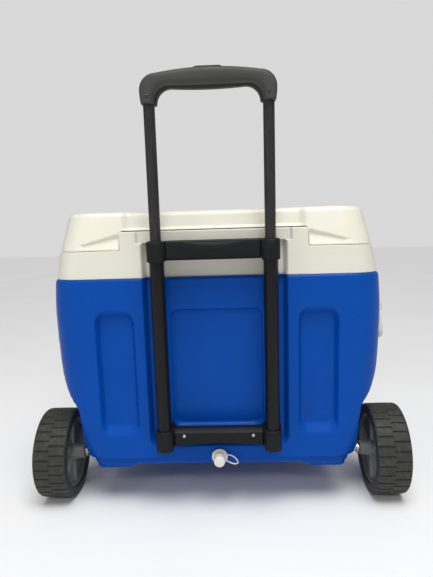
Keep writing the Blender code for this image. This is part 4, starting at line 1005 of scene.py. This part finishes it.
def screws():
    for _, side in SIDES:
        screw(f"bracket_screw_{side}", "root", 0.0027, STEEL)
        screw(f"grip_screw_{side}", "handle", 0.0022, DULL_STEEL)


# ---------------- drain strap
STRAP_RADIUS, STRAP_BACK, STRAP_BOW = 0.0010, 0.0032, 0.0035
STRAP = ((0.0, 0.0115, 0.0042), (1.0, 0.0180, 0.0036), (2.0, 0.0255, -0.0006), (2.6, 0.0288, -0.0050),
         (3.0, 0.0296, -0.0078), (3.4, 0.0282, -0.0100), (4.0, 0.0240, -0.0106), (5.0, 0.0172, -0.0090),
         (6.0, 0.0105, -0.0062))  # along the strap, then across and up from the drain's middle


def round_wire(path, radius, count=12):
    """A round wire along a path of points."""
    rings = []
    for i, point in enumerate(path):
        before, after = path[max(i - 1, 0)], path[min(i + 1, len(path) - 1)]
        along = (Vector(after) - Vector(before)).normalized()
        side = along.cross(Vector((0, 0, 1)) if abs(along.z) < 0.9 else Vector((0, 1, 0))).normalized()
        up = side.cross(along)
        turns = [2 * math.pi * k / count for k in range(count)]
        rings.append([Vector(point) + radius * (math.cos(a) * side + math.sin(a) * up) for a in turns])
    return skin(rings)


def drain_strap():
    """A thin moulded loop at one side of the drain's flange, made in the model's frame."""
    back_y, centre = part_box("drain_tether")[1].y - STRAP_BACK, middle("drain_cap")
    across, up = smooth_curve([(t, x) for t, x, _ in STRAP]), smooth_curve([(t, z) for t, _, z in STRAP])
    path = [(centre.x + across(t), back_y - STRAP_BOW * math.sin(math.pi * t / 6), centre.z + up(t))
            for t in steps((0, 6, 0.15))]
    place("drain_strap", round_wire(path, STRAP_RADIUS), "root", "white_fittings", FITTING, "drain_tether",
          Matrix())


# ---------------- carried-over CAD nodes
CARRIED = {
    STEEL: ["axle", "axle_cap", "axle_washer", "lock_pin", "push_rod", "hinge_pin"],
    FITTING: ["carry_bracket", "carry_handle", "hinge_base", "hinge_leaf", "drain_body", "drain_cap"],
    BLACK: ["front_foot"],
    DARK_GREY: ["tube_slider", "tube_bushing", "push_yoke"],
    RUBBER: ["drain_gasket"],
    WHITE: ["lid_liner"],
    FOAM: ["insulation_foam", "lid_foam"],
}


def carry_over():
    """Gives the CAD nodes that have no piece of their own here their materials."""
    for material, stems in CARRIED.items():
        for name, node in NODES.items():
            if name in stems or name.rsplit("_", 1)[0] in stems:
                node.data.materials.clear()
                node.data.materials.append(material)


# ---------------- camera and stage
CAMERA_AT = (0.0303, AXLE.y - 0.8284, 0.4549)
YAW, PITCH, ROLL, LENS = math.radians(2.09), math.radians(6.30), math.radians(1.64), 30.34
WORLD_LIGHT, WORLD_SEEN = 0.28, 0.69  # how bright the world is as a light, and as a background
FLOOR_SIZE, FLOOR_LOW, FLOOR_HIGH = 12, (0.83, 0.83, 0.83), (0.86, 0.86, 0.86)
SUN_STRENGTH, SUN_ANGLE, SUN_ALONG = 1.6, 40, (-0.08, 0.30, -1.0)
# name, place, target, size and watts
LIGHTS = (("near_light", (0.2, -0.95, 1.75), (0, -0.1, 0.3), (0.9, 0.6), 12),
          ("back_light", (0.0, -2.3, 1.65), (0, 0, 0.3), (2.4, 0.3), 11),
          ("side_light", (-2.0, -1.5, 0.9), (0, -0.1, 0.45), (0.25, 1.3), 5))


def camera():
    data = bpy.data.cameras.new("camera")
    data.lens, data.sensor_width, data.sensor_fit = LENS, 36, "AUTO"
    data.clip_start, data.clip_end = 0.01, 100
    forward = Vector((-math.sin(YAW) * math.cos(PITCH), math.cos(YAW) * math.cos(PITCH), -math.sin(PITCH)))
    level = Vector((math.cos(YAW), math.sin(YAW), 0))
    upright = level.cross(forward)
    right = math.cos(ROLL) * level - math.sin(ROLL) * upright
    up = math.sin(ROLL) * level + math.cos(ROLL) * upright
    obj = add_object("camera", data)
    obj.matrix_world = Matrix.Translation(CAMERA_AT) @ Matrix((right, up, -forward)).transposed().to_4x4()
    bpy.context.scene.camera = obj


def pale_floor():
    mesh = bmesh.new()
    bmesh.ops.create_grid(mesh, x_segments=1, y_segments=1, size=FLOOR_SIZE)
    data = bpy.data.meshes.new("floor")
    mesh.to_mesh(data)
    mesh.free()
    nodes = Nodes("pale_floor")
    nodes.use("Base Color", nodes.colours(nodes.noise(2, 2), (0.3, FLOOR_LOW), (0.7, FLOOR_HIGH)))
    nodes.set(Roughness=0.9)
    data.materials.append(nodes.material)
    add_object("floor", data)


def studio_world():
    world = bpy.data.worlds.new("studio")
    world.use_nodes = True
    tree = world.node_tree
    rays, strength = tree.nodes.new("ShaderNodeLightPath"), tree.nodes.new("ShaderNodeMapRange")
    strength.inputs["To Min"].default_value, strength.inputs["To Max"].default_value = WORLD_LIGHT, WORLD_SEEN
    tree.links.new(rays.outputs["Is Camera Ray"], strength.inputs["Value"])
    tree.links.new(strength.outputs["Result"], tree.nodes["Background"].inputs["Strength"])
    tree.nodes["Background"].inputs["Color"].default_value = (1, 1, 1, 1)
    bpy.context.scene.world = world
    bpy.context.scene.view_settings.view_transform = "Standard"


def lights():
    for name, at, target, size, watts in LIGHTS:
        data = bpy.data.lights.new(name, "AREA")
        data.shape, data.size, data.size_y, data.energy = "RECTANGLE", *size, watts
        add_object(name, data, at, Vector(target) - Vector(at))
    sun = bpy.data.lights.new("soft_sun", "SUN")
    sun.energy, sun.angle = SUN_STRENGTH, math.radians(SUN_ANGLE)
    add_object("soft_sun", sun, along=SUN_ALONG)


outer_shell()
clamp_pads()
inner_liner()
lid_shell()
for hand_sign, side_name in SIDES:
    tyre(hand_sign, side_name)
    rim(hand_sign, side_name)
tubes()
brackets()
grip()
release_button()
screws()
drain_strap()
carry_over()
camera()
pale_floor()
studio_world()
lights()
